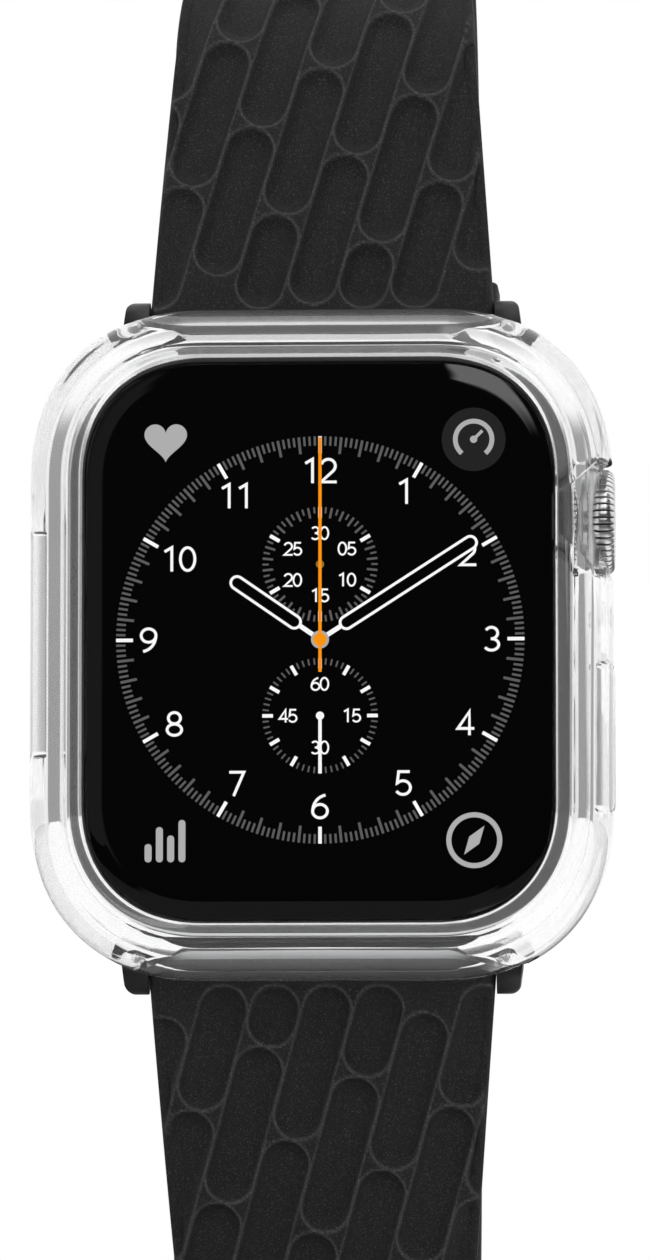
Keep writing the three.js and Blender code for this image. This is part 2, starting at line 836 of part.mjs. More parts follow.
// The strap's middle line: its heading from +Z towards +Y, and its place, at a length from the pin
const strapArcLength = strapArcRadius * (strapEndHeading - strapArcHeading);

function strapPlace(length) {
  const startBend = (strapArcHeading - strapStartHeading) / strapStartLength;
  const runs = [[strapStartLength, startBend], [strapArcLength, 1 / strapArcRadius], [Infinity, 0]];
  let heading = strapStartHeading;
  let y = -pinPlane;
  let z = pinAlong;
  let left = length;
  for (const [reach, bend] of runs) {
    const part = left < 0 ? 0 : Math.min(left, reach);
    const next = heading + part * bend;
    y += bend === 0 ? part * Math.sin(heading) : (Math.cos(heading) - Math.cos(next)) / bend;
    z += bend === 0 ? part * Math.cos(heading) : (Math.sin(next) - Math.sin(heading)) / bend;
    heading = next;
    left -= part;
  }
  if (length < 0) {
    y += length * Math.sin(heading);
    z += length * Math.cos(heading);
  }
  return { heading, y, z };
}

// Axes at a length of the strap: across, outwards from the wrist, and back towards the pin
function strapFrame(length) {
  const { heading, y, z } = strapPlace(length);
  const frame = new THREE.Matrix4().makeBasis(
    new THREE.Vector3(1, 0, 0),
    new THREE.Vector3(0, -Math.cos(heading), Math.sin(heading)),
    new THREE.Vector3(0, -Math.sin(heading), -Math.cos(heading)),
  );
  return frame.setPosition(0, y, z);
}

function strapHalfWidth(length) {
  const first = THREE.MathUtils.clamp(length / strapTaperLength, 0, 1);
  const second = THREE.MathUtils.smoothstep(length, strapTaperLength, strapTaperEnd);
  const width = strapWidth + first * (strapMidWidth - strapWidth) + second * (strapEndWidth - strapMidWidth);
  return width / 2;
}

function strapHalfThickness(length) {
  const share = THREE.MathUtils.smoothstep(length, 0, strapTaperLength);
  return (strapThickness + share * (strapEndThickness - strapThickness)) / 2;
}

// A cross-section of the strap with its four edges rounded
function strapSection(length, half, thick) {
  const frame = strapFrame(length);
  const radius = Math.min(strapEdge, thick * tailEdgeShare);
  const points = [];
  for (let quarter = 0; quarter < 4; quarter += 1) {
    const right = quarter === 0 || quarter === 3 ? 1 : -1;
    const out = quarter < 2 ? 1 : -1;
    for (let step = 0; step <= 2; step += 1) {
      const part = quarter % 2 === 0 ? step / 2 : 1 - step / 2;
      const x = right * (half - radius + radius * Math.cos(part * quarterTurn));
      const y = out * (thick - radius + radius * Math.sin(part * quarterTurn));
      points.push(new THREE.Vector3(x, y, 0).applyMatrix4(frame));
    }
  }
  return points;
}

// Lengths at which the strap's body has a section, from the gentle start to the end of the arc
function strapStations(end) {
  const stations = [];
  const firstSteps = Math.round(strapStartLength / strapFirstStep);
  const arcSteps = Math.round(strapArcLength / strapArcStep);
  for (let step = 1; step <= firstSteps; step += 1) {
    stations.push((strapStartLength * step) / firstSteps);
  }
  for (let step = 1; step <= arcSteps; step += 1) {
    stations.push(strapStartLength + (strapArcLength * step) / arcSteps);
  }
  return stations.filter((length) => length < end - strapFirstStep / 2);
}

// The round end about a pin: sections at lengths behind or ahead of the pin
function knuckle(pinLength, ahead) {
  const radius = strapHalfThickness(pinLength);
  const half = strapHalfWidth(pinLength);
  const rings = knuckleAngleShares.map((share) => {
    const angle = share * quarterTurn;
    const away = (ahead ? 1 : -1) * radius * Math.cos(angle);
    return strapSection(pinLength + away, half, radius * Math.sin(angle));
  });
  return ahead ? rings.reverse() : rings;
}

// A stadium-shaped cutter through the strap, long along the strap
function strapCutter(length, width, long, high) {
  const shape = roundedShape(width, long, width / 2);
  const geometry = new THREE.ExtrudeGeometry(shape, {
    depth: high,
    bevelEnabled: false,
    curveSegments: 3,
  });
  return geometry.translate(0, 0, -high / 2).rotateX(-quarterTurn).applyMatrix4(strapFrame(length));
}

const upperStrapLength = strapStartLength + strapArcLength + buckleStraightLength;
const lowerStrapLength = strapStartLength + strapArcLength + tailStraightLength;
const pinBore = rod(pinRadius + runningGap, -halfWidth, halfWidth, pinPlane, pinAlong);

function upperStrap() {
  const rings = knuckle(0, false);
  strapStations(upperStrapLength).forEach((length) => {
    rings.push(strapSection(length, strapHalfWidth(length), strapHalfThickness(length)));
  });
  rings.push(...knuckle(upperStrapLength, true));
  const buckleBore = rod(bucklePinRadius + runningGap, -halfWidth, halfWidth, 0, 0);
  buckleBore.applyMatrix4(strapFrame(upperStrapLength));
  const slotHalf = tongueWidth / 2 + runningGap;
  const slot = block(
    new THREE.Vector3(-slotHalf, -strapThickness, -overrun - strapThickness),
    new THREE.Vector3(slotHalf, strapThickness, tongueSlotLength),
  );
  slot.applyMatrix4(strapFrame(upperStrapLength));
  return shaped(loft(rings), { cuts: [pinBore, buckleBore, slot] });
}

function lowerStrap() {
  const rings = knuckle(0, false);
  const tipStart = lowerStrapLength - tailRounding;
  strapStations(tipStart).forEach((length) => {
    rings.push(strapSection(length, strapHalfWidth(length), strapHalfThickness(length)));
  });
  const thick = strapHalfThickness(lowerStrapLength);
  const half = strapHalfWidth(lowerStrapLength);
  for (let step = 0; step <= tipFacets; step += 1) {
    const share = Math.sin((step / tipFacets) * quarterTurn);
    const narrowed = Math.max(tailTipShare, Math.sqrt(1 - share * share));
    rings.push(strapSection(tipStart + share * tailRounding, half * narrowed, thick));
  }
  const holes = [];
  for (let hole = 0; hole < tailHoles; hole += 1) {
    const place = lowerStrapLength - tailHoleStart - hole * tailHolePitch;
    holes.push(strapCutter(place, tailHoleWidth, tailHoleLength, 2 * strapThickness));
  }
  return shaped(loft(rings), { cuts: [pinBore, ...holes] });
}

// Spring bar: a body between the ears with a thin tip in each ear
function strapPin() {
  const shoulder = strapWidth / 2 - runningGap;
  const end = shoulder + pinTipLength;
  return turned([
    [-end, 0],
    [-end, pinTipRadius],
    [-shoulder, pinTipRadius],
    [-shoulder, pinRadius],
    [shoulder, pinRadius],
    [shoulder, pinTipRadius],
    [end, pinTipRadius],
    [end, 0],
  ], smallFacets).translate(0, -pinPlane, pinAlong);
}

// Everything at one end of the watch; the lower end is the upper one turned half round
function addEnd(side, strap, turn) {
  const end = new THREE.Group();
  end.rotation.y = turn;
  group.add(end);
  const earBore = rod(pinTipRadius + runningGap, -halfWidth, halfWidth, pinPlane, pinAlong);
  const latchBack = pinPlane - adapterHalfThickness + seatGap;
  const latchFrom = adapterBase + seatGap;
  const latchPocket = block(
    new THREE.Vector3(
      -latchWidth / 2 - runningGap,
      -latchBack - latchThickness - releaseTravel - runningGap,
      adapterBase - overrun,
    ),
    new THREE.Vector3(latchWidth / 2 + runningGap, 0, latchFrom + latchLength + runningGap),
  );
  addPiece(`adapter_${side}`, shaped(plate(adapterPlan(), channelBackPlane, channelFrontPlane), {
    within: [bar(adapterSide(), -halfWidth, halfWidth)],
    cuts: [earBore, latchPocket],
  }), finishes.blackMetal, end);
  addPiece(`adapter_latch_${side}`, block(
    new THREE.Vector3(-latchWidth / 2, -latchBack - latchThickness, latchFrom),
    new THREE.Vector3(latchWidth / 2, -latchBack, latchFrom + latchLength),
  ), finishes.steel, end);
  addPiece(`strap_pin_${side}`, shaped(strapPin(), {}), finishes.steel, end);
  addPiece(`strap_${side}`, strap, finishes.rubber, end);
  const releaseShape = roundedShape(
    releaseWidth,
    releaseHeight,
    releaseHeight / 2 - seatGap,
    0,
    halfLength - releaseInset,
  );
  addPiece(`release_button_${side}`, plate(releaseShape, releasePlane, releasePlane + releaseThickness),
    finishes.aluminium, end);
}

addEnd('upper', upperStrap(), 0);
addEnd('lower', lowerStrap(), Math.PI);

// Buckle at the end of the upper strap, built about its pin
const buckle = new THREE.Group();
buckle.applyMatrix4(strapFrame(upperStrapLength));
group.add(buckle);

// The frame seen square on: two arms from the pin and a far bar, as one bent piece
function framePlan() {
  const outer = frameWidth / 2;
  const inner = outer - frameBar;
  const round = frameCorner - frameBar / 2;
  const shape = new THREE.Shape();
  shape.moveTo(outer, framePinReach);
  shape.lineTo(inner, framePinReach);
  shape.lineTo(inner, -frameLength + frameBar + round);
  shape.quadraticCurveTo(inner, -frameLength + frameBar, inner - round, -frameLength + frameBar);
  shape.lineTo(-inner + round, -frameLength + frameBar);
  shape.quadraticCurveTo(-inner, -frameLength + frameBar, -inner, -frameLength + frameBar + round);
  shape.lineTo(-inner, framePinReach);
  shape.lineTo(-outer, framePinReach);
  shape.lineTo(-outer, -frameLength + frameCorner);
  shape.quadraticCurveTo(-outer, -frameLength, -outer + frameCorner, -frameLength);
  shape.lineTo(outer - frameCorner, -frameLength);
  shape.quadraticCurveTo(outer, -frameLength, outer, -frameLength + frameCorner);
  shape.closePath();
  return shape;
}

const frameBody = plate(framePlan(), -frameThickness / 2, frameThickness / 2, frameBevel);
const frameBoreEnd = frameWidth / 2 - frameBar + bucklePinSeat;
const frameBore = rod(bucklePinRadius + seatGap, -frameBoreEnd, frameBoreEnd, 0, 0);
addPiece('buckle_frame', shaped(frameBody, { cuts: [frameBore] }), finishes.steel, buckle);
const bucklePinEnd = frameBoreEnd - seatGap;
addPiece('buckle_pin', rod(bucklePinRadius, -bucklePinEnd, bucklePinEnd, 0, 0), finishes.steel, buckle);

// The tongue seen from the side: an eye round the pin and an arm that lies on the far bar
function tongueSide() {
  const rest = frameThickness / 2 + runningGap;
  const top = rest + tongueThickness;
  const far = -frameLength - tongueOverhang;
  const shape = new THREE.Shape();
  shape.moveTo(-tongueEyeRadius, 0);
  shape.lineTo(0, 0);
  shape.lineTo(0, -tongueEyeRadius);
  shape.lineTo(-rest, -frameLength + 2 * frameBar);
  shape.lineTo(-rest, far);
  shape.lineTo(-rest - tongueThickness / 2, far);
  shape.quadraticCurveTo(-top, far, -top, far + tongueThickness);
  shape.lineTo(-top, -frameLength + 2 * frameBar);
  shape.closePath();
  return shape;
}

const tongueEye = rod(tongueEyeRadius, -tongueWidth / 2, tongueWidth / 2, 0, 0);
const tongueBore = rod(bucklePinRadius + seatGap, -tongueWidth, tongueWidth, 0, 0);
addPiece('buckle_tongue', shaped(bar(tongueSide(), -tongueWidth / 2, tongueWidth / 2), {
  joins: [tongueEye],
  cuts: [tongueBore],
}), finishes.steel, buckle);

// Keepers: rounded bands round the strap with room for the tail under them
function keeper() {
  const half = strapEndWidth / 2 + runningGap;
  const low = -strapEndThickness / 2 - runningGap;
  const high = strapEndThickness / 2 + strapEndThickness + 2 * runningGap;
  const width = 2 * (half + keeperWall);
  const height = high - low + 2 * keeperWall;
  const middle = (high + low) / 2;
  const shape = roundedShape(width, height, keeperCorner, 0, middle);
  shape.holes.push(roundedShape(2 * half, high - low, strapEdge, 0, middle));
  return new THREE.ExtrudeGeometry(shape, {
    depth: keeperLength,
    bevelEnabled: false,
    curveSegments: 3,
  }).translate(0, 0, -keeperLength / 2);
}

const keepers = [['keeper_fixed', fixedKeeperPlace], [
  'keeper_sliding', fixedKeeperPlace + keeperLength + slidingKeeperGap,
]];
keepers.forEach(([name, place]) => {
  const mesh = addPiece(name, keeper(), finishes.rubber);
  mesh.applyMatrix4(strapFrame(upperStrapLength - place - keeperLength / 2));
});

// The clear case: one rounded band about the watch, with a lip over the edge of the glass
function clearCase() {
  const depth = caseFront - caseBackPlane;
  const rings = caseOuterShares.map(([inwards, forwards]) => (
    caseOutline(inwards * caseBand, caseBackPlane + forwards * depth)
  ));
  const lipUnder = [caseLipReach, (caseLipReach + rimInset) / 2, rimInset].map((inset) => (
    caseOutline(caseInset + inset, glassPlane(inset) + caseGlassGap)
  ));
  const straightPlane = widestPlane + caseInnerPlaneShare * (rimPlane - widestPlane);
  const wallPlanes = [rimPlane, (rimPlane + straightPlane) / 2, straightPlane];
  const wallInner = wallPlanes.map((plane) => (
    caseOutline(caseWall + housingInset(plane), plane)
  ));
  rings.push(...lipUnder, ...wallInner, caseOutline(caseWall, caseBackPlane));
  return loft(rings, true);
}

function strapOpening() {
  const shape = roundedShape(2 * strapOpeningHalf, 2 * strapOpeningFront, caseStrapCorner);
  const geometry = new THREE.ExtrudeGeometry(shape, {
    depth: caseHalfLength,
    bevelEnabled: false,
    curveSegments: 4,
  });
  return geometry.translate(0, 0, halfLength / 2);
}

// The hollow over a strap's opening: deepest at the watch, sloping to the opening's outer edge
function strapHollow() {
  const deep = strapOpeningFront + caseSlopeRise;
  const inside = caseHalfLength - caseHollowReach;
  const outside = caseHalfLength + overrun / 2;
  const fall = caseSlopeRise * ((outside - caseHalfLength) / caseSlopeReach);
  const shape = new THREE.Shape();
  shape.moveTo(pinPlane, inside);
  shape.lineTo(deep, inside);
  shape.lineTo(deep, caseHalfLength - caseSlopeReach);
  shape.lineTo(strapOpeningFront - fall, outside);
  shape.lineTo(pinPlane, outside);
  shape.closePath();
  const half = strapOpeningHalf - caseStrapCorner;
  return bar(shape, -half, half);
}

const crownOpening = bar(roundedShape(
  2 * (rimPlane + seatGap),
  2 * (crownRadius + caseCrownGap),
  caseStrapCorner,
  0,
  crownAlong,
), halfWidth, caseHalfWidth + overrun);
const scallop = new THREE.CylinderGeometry(
  scallopRadius,
  scallopFrontRadius,
  caseFront - rimPlane + overrun,
  roundFacets,
);
const scallopPlane = (caseFront + rimPlane + overrun) / 2;
scallop.translate(halfWidth + scallopReach + scallopRadius, -scallopPlane, crownAlong);
const padOpening = bar(roundedShape(
  padHeight + 2 * runningGap,
  padLength + 2 * runningGap,
  padHeight / 2,
  widestPlane,
  buttonAlong,
), halfWidth - overrun, caseHalfWidth + overrun);
const speakerOpening = bar(roundedShape(
  caseSpeakerHeight,
  caseSpeakerLength,
  caseSpeakerHeight / 2,
  widestPlane,
  0,
), -caseHalfWidth - overrun, -halfWidth + overrun);
const microphoneOpening = rod(caseMicrophoneRadius, halfWidth - overrun, caseHalfWidth + overrun,
  widestPlane, microphoneAlong, smallFacets / 2);
const strapCuts = [strapOpening(), strapHollow()];
strapCuts.push(...strapCuts.map((cut) => cut.clone().rotateY(Math.PI)));
addPiece('bumper_shell', shaped(clearCase(), {
  cuts: [...strapCuts, crownOpening, scallop, padOpening, speakerOpening, microphoneOpening],
}), finishes.clear);

// The case's moulded pad over the side button
const padShape = roundedShape(padHeight, padLength, padHeight / 2, widestPlane, buttonAlong);
addPiece('bumper_button_pad', bar(padShape, padBack, caseHalfWidth + padProud), finishes.clear);

export default group;
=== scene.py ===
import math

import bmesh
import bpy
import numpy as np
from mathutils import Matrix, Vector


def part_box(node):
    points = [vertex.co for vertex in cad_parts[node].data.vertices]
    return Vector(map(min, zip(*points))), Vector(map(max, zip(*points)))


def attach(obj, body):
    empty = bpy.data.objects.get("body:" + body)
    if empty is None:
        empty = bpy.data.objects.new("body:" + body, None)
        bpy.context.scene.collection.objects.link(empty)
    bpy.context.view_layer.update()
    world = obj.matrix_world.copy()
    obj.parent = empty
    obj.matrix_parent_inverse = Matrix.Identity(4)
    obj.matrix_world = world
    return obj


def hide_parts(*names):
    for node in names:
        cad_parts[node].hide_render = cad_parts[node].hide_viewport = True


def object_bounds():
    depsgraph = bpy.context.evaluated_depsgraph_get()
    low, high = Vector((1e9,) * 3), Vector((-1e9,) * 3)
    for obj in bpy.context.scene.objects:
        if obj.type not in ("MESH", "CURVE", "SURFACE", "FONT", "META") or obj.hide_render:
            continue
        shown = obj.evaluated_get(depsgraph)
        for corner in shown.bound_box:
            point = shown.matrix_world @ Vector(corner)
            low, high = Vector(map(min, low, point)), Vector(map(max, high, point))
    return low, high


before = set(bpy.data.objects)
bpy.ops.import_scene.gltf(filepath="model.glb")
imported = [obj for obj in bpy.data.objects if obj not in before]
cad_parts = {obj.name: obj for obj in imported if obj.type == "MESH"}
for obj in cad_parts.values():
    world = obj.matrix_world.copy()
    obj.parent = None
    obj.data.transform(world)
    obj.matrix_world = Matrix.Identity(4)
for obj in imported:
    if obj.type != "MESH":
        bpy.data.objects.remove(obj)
cad_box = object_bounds()

# A rectangular smartwatch in a clear case, on a dimpled rubber strap.
# Sizes are in millimetres and turn into metres when a mesh is made.
# The face looks along -Y, the crown is at +X and twelve o'clock at +Z.
# A depth is a distance forwards of the face that touches the wrist, so a point at a depth has y = -depth.

MM = 0.001
QUARTER = math.pi / 2
TURN = 4 * QUARTER

# How far a cutter runs past what it cuts or into its neighbour, and how far round ends stop short of meeting
OVERRUN = 1.0
OVERLAP = 0.1
SEAM = 0.01

# Steps round large and small round shapes
FINE_ROUND = 96
SMALL_ROUND = 32


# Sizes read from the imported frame
def box_mm(node):
    low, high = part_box(node)
    return np.array(low) / MM, np.array(high) / MM


HOUSING_LOW, HOUSING_HIGH = box_mm("watch_housing")
GLASS_LOW, GLASS_HIGH = box_mm("front_glass")
CASE_LOW, CASE_HIGH = box_mm("bumper_shell")
CROWN_LOW, CROWN_HIGH = box_mm("crown_knob")
CAP_LOW, CAP_HIGH = box_mm("crown_cap")
BUTTON_LOW, BUTTON_HIGH = box_mm("side_button")
PAD_LOW, PAD_HIGH = box_mm("bumper_button_pad")
COVER_LOW, COVER_HIGH = box_mm("back_cover")
CRYSTAL_HIGH = box_mm("back_crystal")[1]
RELEASE_LOW, RELEASE_HIGH = box_mm("release_button_upper")
ADAPTER_LOW, ADAPTER_HIGH = box_mm("adapter_upper")
PIN_LOW, PIN_HIGH = box_mm("strap_pin_upper")
BUCKLE_PIN_LOW, BUCKLE_PIN_HIGH = box_mm("buckle_pin")
FRAME_HIGH = box_mm("buckle_frame")[1]

# Outlines
HALF_WIDTH = 19.0
HALF_LENGTH = 22.0
CORNER = 10.8
CORNER_EXPONENT = 2.25
CORNER_STEPS = 26

# Housing and glass
BACK_PLANE = -HOUSING_HIGH[1]
RIM_PLANE = -HOUSING_LOW[1]
WIDEST_PLANE = 5.2
BACK_INSET = 3.6
RIM_INSET = 0.95
SIDE_STEPS = 18
HOUSING_WALL = 2.1
HOUSING_EDGE = 0.07
GLASS_BACK = -GLASS_HIGH[1]
GLASS_FRONT = -GLASS_LOW[1]
GLASS_EDGE_SHARES = [(0, 0), (0.04, 0.3), (0.16, 0.52), (0.37, 0.73), (0.65, 0.9), (1, 1)]
GLASS_EDGE_WIDTH = 2.55
GLASS_FLAT_BORDER = 0.4
POCKET_INSET = 2.05
POCKET_BACK = 7.85
CAVITY_LEDGE = 1.2
CAVITY_BACK = 3.3
SEAT_LEDGE = 0.9
SEAT_FRONT = 2.8
MOUTH_LEDGE = 1.8
CHANNEL_PLANES = (2.8, 6.4)
CHANNEL_DEPTH = 2.7
CHANNEL_CORNER = 0.3
RUNNING_GAP = 0.2
SPEAKER_SLOT = (1.2, 13.0)
MICROPHONE_ALONG = 1.5
MICROPHONE_RADIUS = 0.45

# Back cover, crystal and release buttons; the crystal's edge is in radii and depths
BACK_EDGE = 0.12
BACK_HOLE_DEPTH = 4.0
CRYSTAL_MIDDLE = 4.0
CRYSTAL_EDGE = [(8.0, 0.0), (9.98, 0.19), (11.52, 0.6), (12.25, 1.1)]
CRYSTAL_RIM_DEPTHS = (1.5, 2.1)
RELEASE_ALONG = (RELEASE_HIGH[2] + RELEASE_LOW[2]) / 2
RELEASE_FLAT = 0.1
RELEASE_EDGE = 0.15

# Side button
BUTTON_MIDDLE = (WIDEST_PLANE, (BUTTON_HIGH[2] + BUTTON_LOW[2]) / 2)
BUTTON_POCKET = 17.1
BUTTON_DEPTH = 1.5
BUTTON_EDGE = 0.25
STEM_RADIUS = 0.6
STEM_COVER = 1.0

# Clear case: its outer side is in shares of its band and of its depth, its slope in planes and places along
CASE_INSET = 1.65
CASE_WALL = 1.4
CASE_BACK = -CASE_HIGH[1]
CASE_FRONT = -CASE_LOW[1]
CASE_LIP_REACH = 2.0
CASE_BAND = CASE_INSET + CASE_LIP_REACH
CASE_GLASS_GAP = 0.3
CASE_OUTER_SHARES = [
    (0.12, 0), (0.02, 0.16), (0, 0.43), (0.03, 0.67), (0.15, 0.83),
    (0.36, 0.93), (0.6, 0.985), (0.8, 1), (0.94, 0.985), (1, 0.95),
]
CASE_SPREAD = (0.18, 0.35)
CASE_SPREAD_FALL = (0.35, 0.21)
CASE_STRAIGHT_PLANE = 7.0
CASE_HEEL = 2.0
CASE_OPENING_WIDTH = 29.3
CASE_OPENING_PLANE = 6.45
CASE_OPENING_CORNER = 1.2
CASE_OPENING_START = 11.0
CASE_OPENING_PAST = 12.0
CASE_SLOPE_START = 20.5
CASE_SLOPE = [(8.9, 20.5), (8.9, 22.12), (4.85, 24.65)]
CASE_SLOPE_FLAT = 8.5
CASE_SLOPE_FADE = 5.0
CASE_SLOPE_LEAST = 0.05
CASE_SLOPE_RINGS = 25
CASE_SPEAKER = (4.0, 16.2)
CASE_SIDE_CORNER = 0.4
CASE_MICROPHONE_RADIUS = 0.7
CASE_CROWN_HALF = 4.3
CASE_CROWN_PLANE = 9.3
CASE_EDGE = 0.14
CASE_OUTSIDE = HALF_WIDTH + CASE_INSET + OVERRUN
CASE_INSIDE = HALF_WIDTH - OVERRUN
PAD_MIDDLE = (WIDEST_PLANE, (PAD_HIGH[2] + PAD_LOW[2]) / 2)
PAD_EDGE = 0.35
SCALLOP_RADII = (7.4, 5.6)
SCALLOP_REACH = 0.45
CROWN_RAMP = [(17.0, 1.3, 11.62), (19.9, 4.0, 9.35)]

# Crown and its cap; the cap's edge is in from its face and rim, its dish in from its face at a radius
CROWN_ALONG = 8.8
CROWN_RADIUS = 3.75
CROWN_ROUNDING = 0.6
CROWN_TEETH = 46
CROWN_STEPS = 12
CROWN_TOOTH_FALL = 0.035
CROWN_GROOVE = 0.17
CROWN_GROOVE_SHARE = 0.15
CROWN_BACK_RADII = (1.2, 2.4)
CROWN_FACE_RADIUS = 2.9
CROWN_RECESS = 0.3
CROWN_RECESS_RADIUS = 0.4
CROWN_BORE_RADIUS = 1.55
CAP_GAP = 0.1
CAP_CORE = 0.3
CAP_EDGE = [(0.12, 0.02), (0.03, 0.09), (0.0, 0.25)]
CAP_DISH = [(0.06, 1.2), (0.08, 0.2)]

# Strap
STRAP_WIDTHS = (24.85, 21.8, 20.0)
STRAP_TAPERS = (20.5, 34.0)
STRAP_THICKNESSES = (3.0, 2.6)
STRAP_EDGE = 0.9
STRAP_EDGE_SHARE = 0.9
STRAP_HEADINGS = (math.radians(5.5), math.radians(15), math.pi)
STRAP_START = 18.0
STRAP_ARC_RADIUS = 19.0
STRAP_ARC = STRAP_ARC_RADIUS * (STRAP_HEADINGS[2] - STRAP_HEADINGS[1])
BUCKLE_STRAIGHT = 16.0
TAIL_STRAIGHT = 26.0
UPPER_LENGTH = STRAP_START + STRAP_ARC + BUCKLE_STRAIGHT
LOWER_LENGTH = STRAP_START + STRAP_ARC + TAIL_STRAIGHT
TAIL_ROUNDING = 9.0
TAIL_TIP_SHARE = 0.16
TAIL_HOLES = 7
TAIL_HOLE_PITCH = 6.5
TAIL_HOLE_START = 13.0
TAIL_HOLE_SIZE = (2.0, 3.2)
TONGUE_SLOT_SIZE = (2.4, 8.8)
STRAP_CUT_REACH = 4.0
STRAP_ACROSS_STEPS = 200
STRAP_FINE_STEP = 0.17
STRAP_COARSE_STEP = 0.9
STRAP_END_STEP = 0.1
KNUCKLE_START_SHARE = 0.12
PIN_PLANE, PIN_ALONG = (PIN_LOW + PIN_HIGH)[1:] / 2 * (-1, 1)

# Adapters
ADAPTER_INNER = 12.44
ADAPTER_LEAN = 0.15
ADAPTER_CORNER = 0.8
ADAPTER_BAR = 1.5
ADAPTER_TIP_RISE = 2.0
ADAPTER_LIFT = 0.2
ADAPTER_EDGE = 0.16
ADAPTER_BORE = 0.6

# Dimples in the strap: slanting columns of long rounded hollows with thin ridges between them
DIMPLE_WIDTH = 3.52
DIMPLE_DEPTH = 0.7
DIMPLE_FLAT_SHARE = 0.42
DIMPLE_SLANT = math.radians(15.7)
DIMPLE_PITCH = 3.58
DIMPLE_PERIOD = 11.6
DIMPLE_SHIFT = -5.9
DIMPLE_RIDGE = 0.1
# Width of the rim band that carries the painted highlight, in shares of a hollow's radius
DIMPLE_RIDGE_SHARES = (0.01, 0.09)
DIMPLE_BORDER = 0.95
DIMPLE_SIDE_FADE = 0.35
DIMPLE_LEAST = 0.25
DIMPLE_PAST = 2.0
DIMPLE_ENDS = {"upper": 62.0, "lower": 42.0}

# A junction of the dimples, across the strap and along it from the pin, for each half
DIMPLE_STARTS = {"upper": (0.15, 19.1), "lower": (4.1, 5.3)}

# Buckle, from its pin: negative places lie away from the strap
BUCKLE_PLACE = ((BUCKLE_PIN_LOW + BUCKLE_PIN_HIGH) / 2)[1:]
BUCKLE_PIN_RADIUS = 0.65
FRAME_LENGTH = 13.0
FRAME_REACH = 1.3
FRAME_CORNER = 2.6
FRAME_BAR = 2.0
FRAME_HALF_THICKNESS = 1.1
FRAME_EDGE = 0.4
TONGUE_EYE_RADIUS = 1.45
TONGUE_BORE_RADIUS = 0.75
TONGUE_REST = 1.3
TONGUE_THICKNESS = 1.1
TONGUE_TIP = -13.7
TONGUE_BEND = -9.0
TONGUE_HALF_WIDTH = 1.0
TONGUE_EDGE = 0.22
KEEPER_WALL = 1.2
KEEPER_CORNERS = (1.6, 0.9)
KEEPER_EDGE = 0.3

# Photograph, in its own pixels, and the scale at the glass
PHOTO_SIZE = (650, 1260)
PIXELS_PER_MM = 14.1
DIAL_PIXEL = (320, 639.5)
GLASS_PIXEL = (318.5, 639.5)
PHOTO_CENTRE = (325, 630)
CAMERA_AZIMUTH = math.radians(3.0)
CAMERA_ELEVATION = math.radians(-5.1)
CAMERA_REACH = 560.0
SENSOR = 36.0
NEAREST = 0.01

# Dial: thin solid marks on the flat of the glass, in layers, placed from the dial's middle
DIAL_ACROSS = (DIAL_PIXEL[0] - GLASS_PIXEL[0]) / PIXELS_PER_MM
DIAL_LAYER = 0.006

# Layers of the dial's marks, counted up from the glass
BAR_LAYER = 0.5
HOUR_BAR_LAYER = 0.55
MARK_LAYER = 0.6
GAUGE_LAYER = 1.2
GAUGE_HUB_LAYER = 1.6
FILL_LAYER = 1.7
HAND_LAYER = 2.2
AMBER_LAYER = 2.4
SECOND_HUB_LAYER = 2.6
HUB_LAYER = 3.2
SWEEP_LAYER = 4.0
SWEEP_HUB_LAYER = 4.5

# The dial's circles, and how far a stroke may widen at its bends
LEAST_SHARPNESS = 0.4
DIAL_MIDDLE = (0, 0)
DIAL_RADIUS = 14.5
SUBDIAL_RADIUS = 4.1
UPPER_SUBDIAL = (0, 5.36)
LOWER_SUBDIAL = (0, -5.42)

# Grey bars: middle, radius, count, which one in so many is left out, length and width
FINE_BARS = [
    (DIAL_MIDDLE, DIAL_RADIUS, 240, 4, 0.66, 0.16),
    (DIAL_MIDDLE, DIAL_RADIUS, 60, 5, 1.2, 0.19),
    (UPPER_SUBDIAL, SUBDIAL_RADIUS, 60, 2, 0.45, 0.13),
    (UPPER_SUBDIAL, SUBDIAL_RADIUS, 30, 5, 0.75, 0.16),
    (LOWER_SUBDIAL, SUBDIAL_RADIUS, 60, 5, 0.45, 0.12),
]

# White bars: middle, radius, count, length and width
HOUR_BARS = [
    (DIAL_MIDDLE, DIAL_RADIUS, 12, 1.2, 0.25),
    (UPPER_SUBDIAL, SUBDIAL_RADIUS, 6, 0.78, 0.26),
    (LOWER_SUBDIAL, SUBDIAL_RADIUS, 12, 0.76, 0.25),
]

# Numbers, the last of each circle at its top
NUMERAL_PITCH_SHARE = 0.69
NUMERAL_WIDTH_SHARE = 1.08
HOUR_RADII = (12.15, 12.15, 12.2, 11.92, 11.8, 11.86, 11.8, 11.92, 12.15, 11.56, 11.86, 12.04)
HOUR_NUMERAL = (1.77, 0.2)
UPPER_TEXTS = ("05", "10", "15", "20", "25", "30")
UPPER_TEXT_RADIUS = 2.22
LOWER_TEXTS = ("15", "30", "45", "60")
LOWER_TEXT_RADIUS = 2.26
SUBDIAL_NUMERAL = (0.94, 0.13)

# Hands: angles in degrees from the top, and the near and far ends of each baton
BATONS = [(57.3, 2.23, 12.68), (-55.4, 2.22, 7.16)]
BATON_RADIUS = 0.45
BATON_STEPS = 16
BATON_LINE = 0.19
STEM_WIDTH = 0.33
STEM_NEAR = 0.3
STEM_INTO_BATON = 0.5
SECOND_HAND_LENGTH = 4.1
SECOND_HAND_WIDTH = 0.24
SMALL_HUB = 0.29
HAND_HUB = 0.64
SWEEP_REACH = (-2.3, 14.43)
SWEEP_WIDTH = 0.23
SWEEP_HUB = 0.47

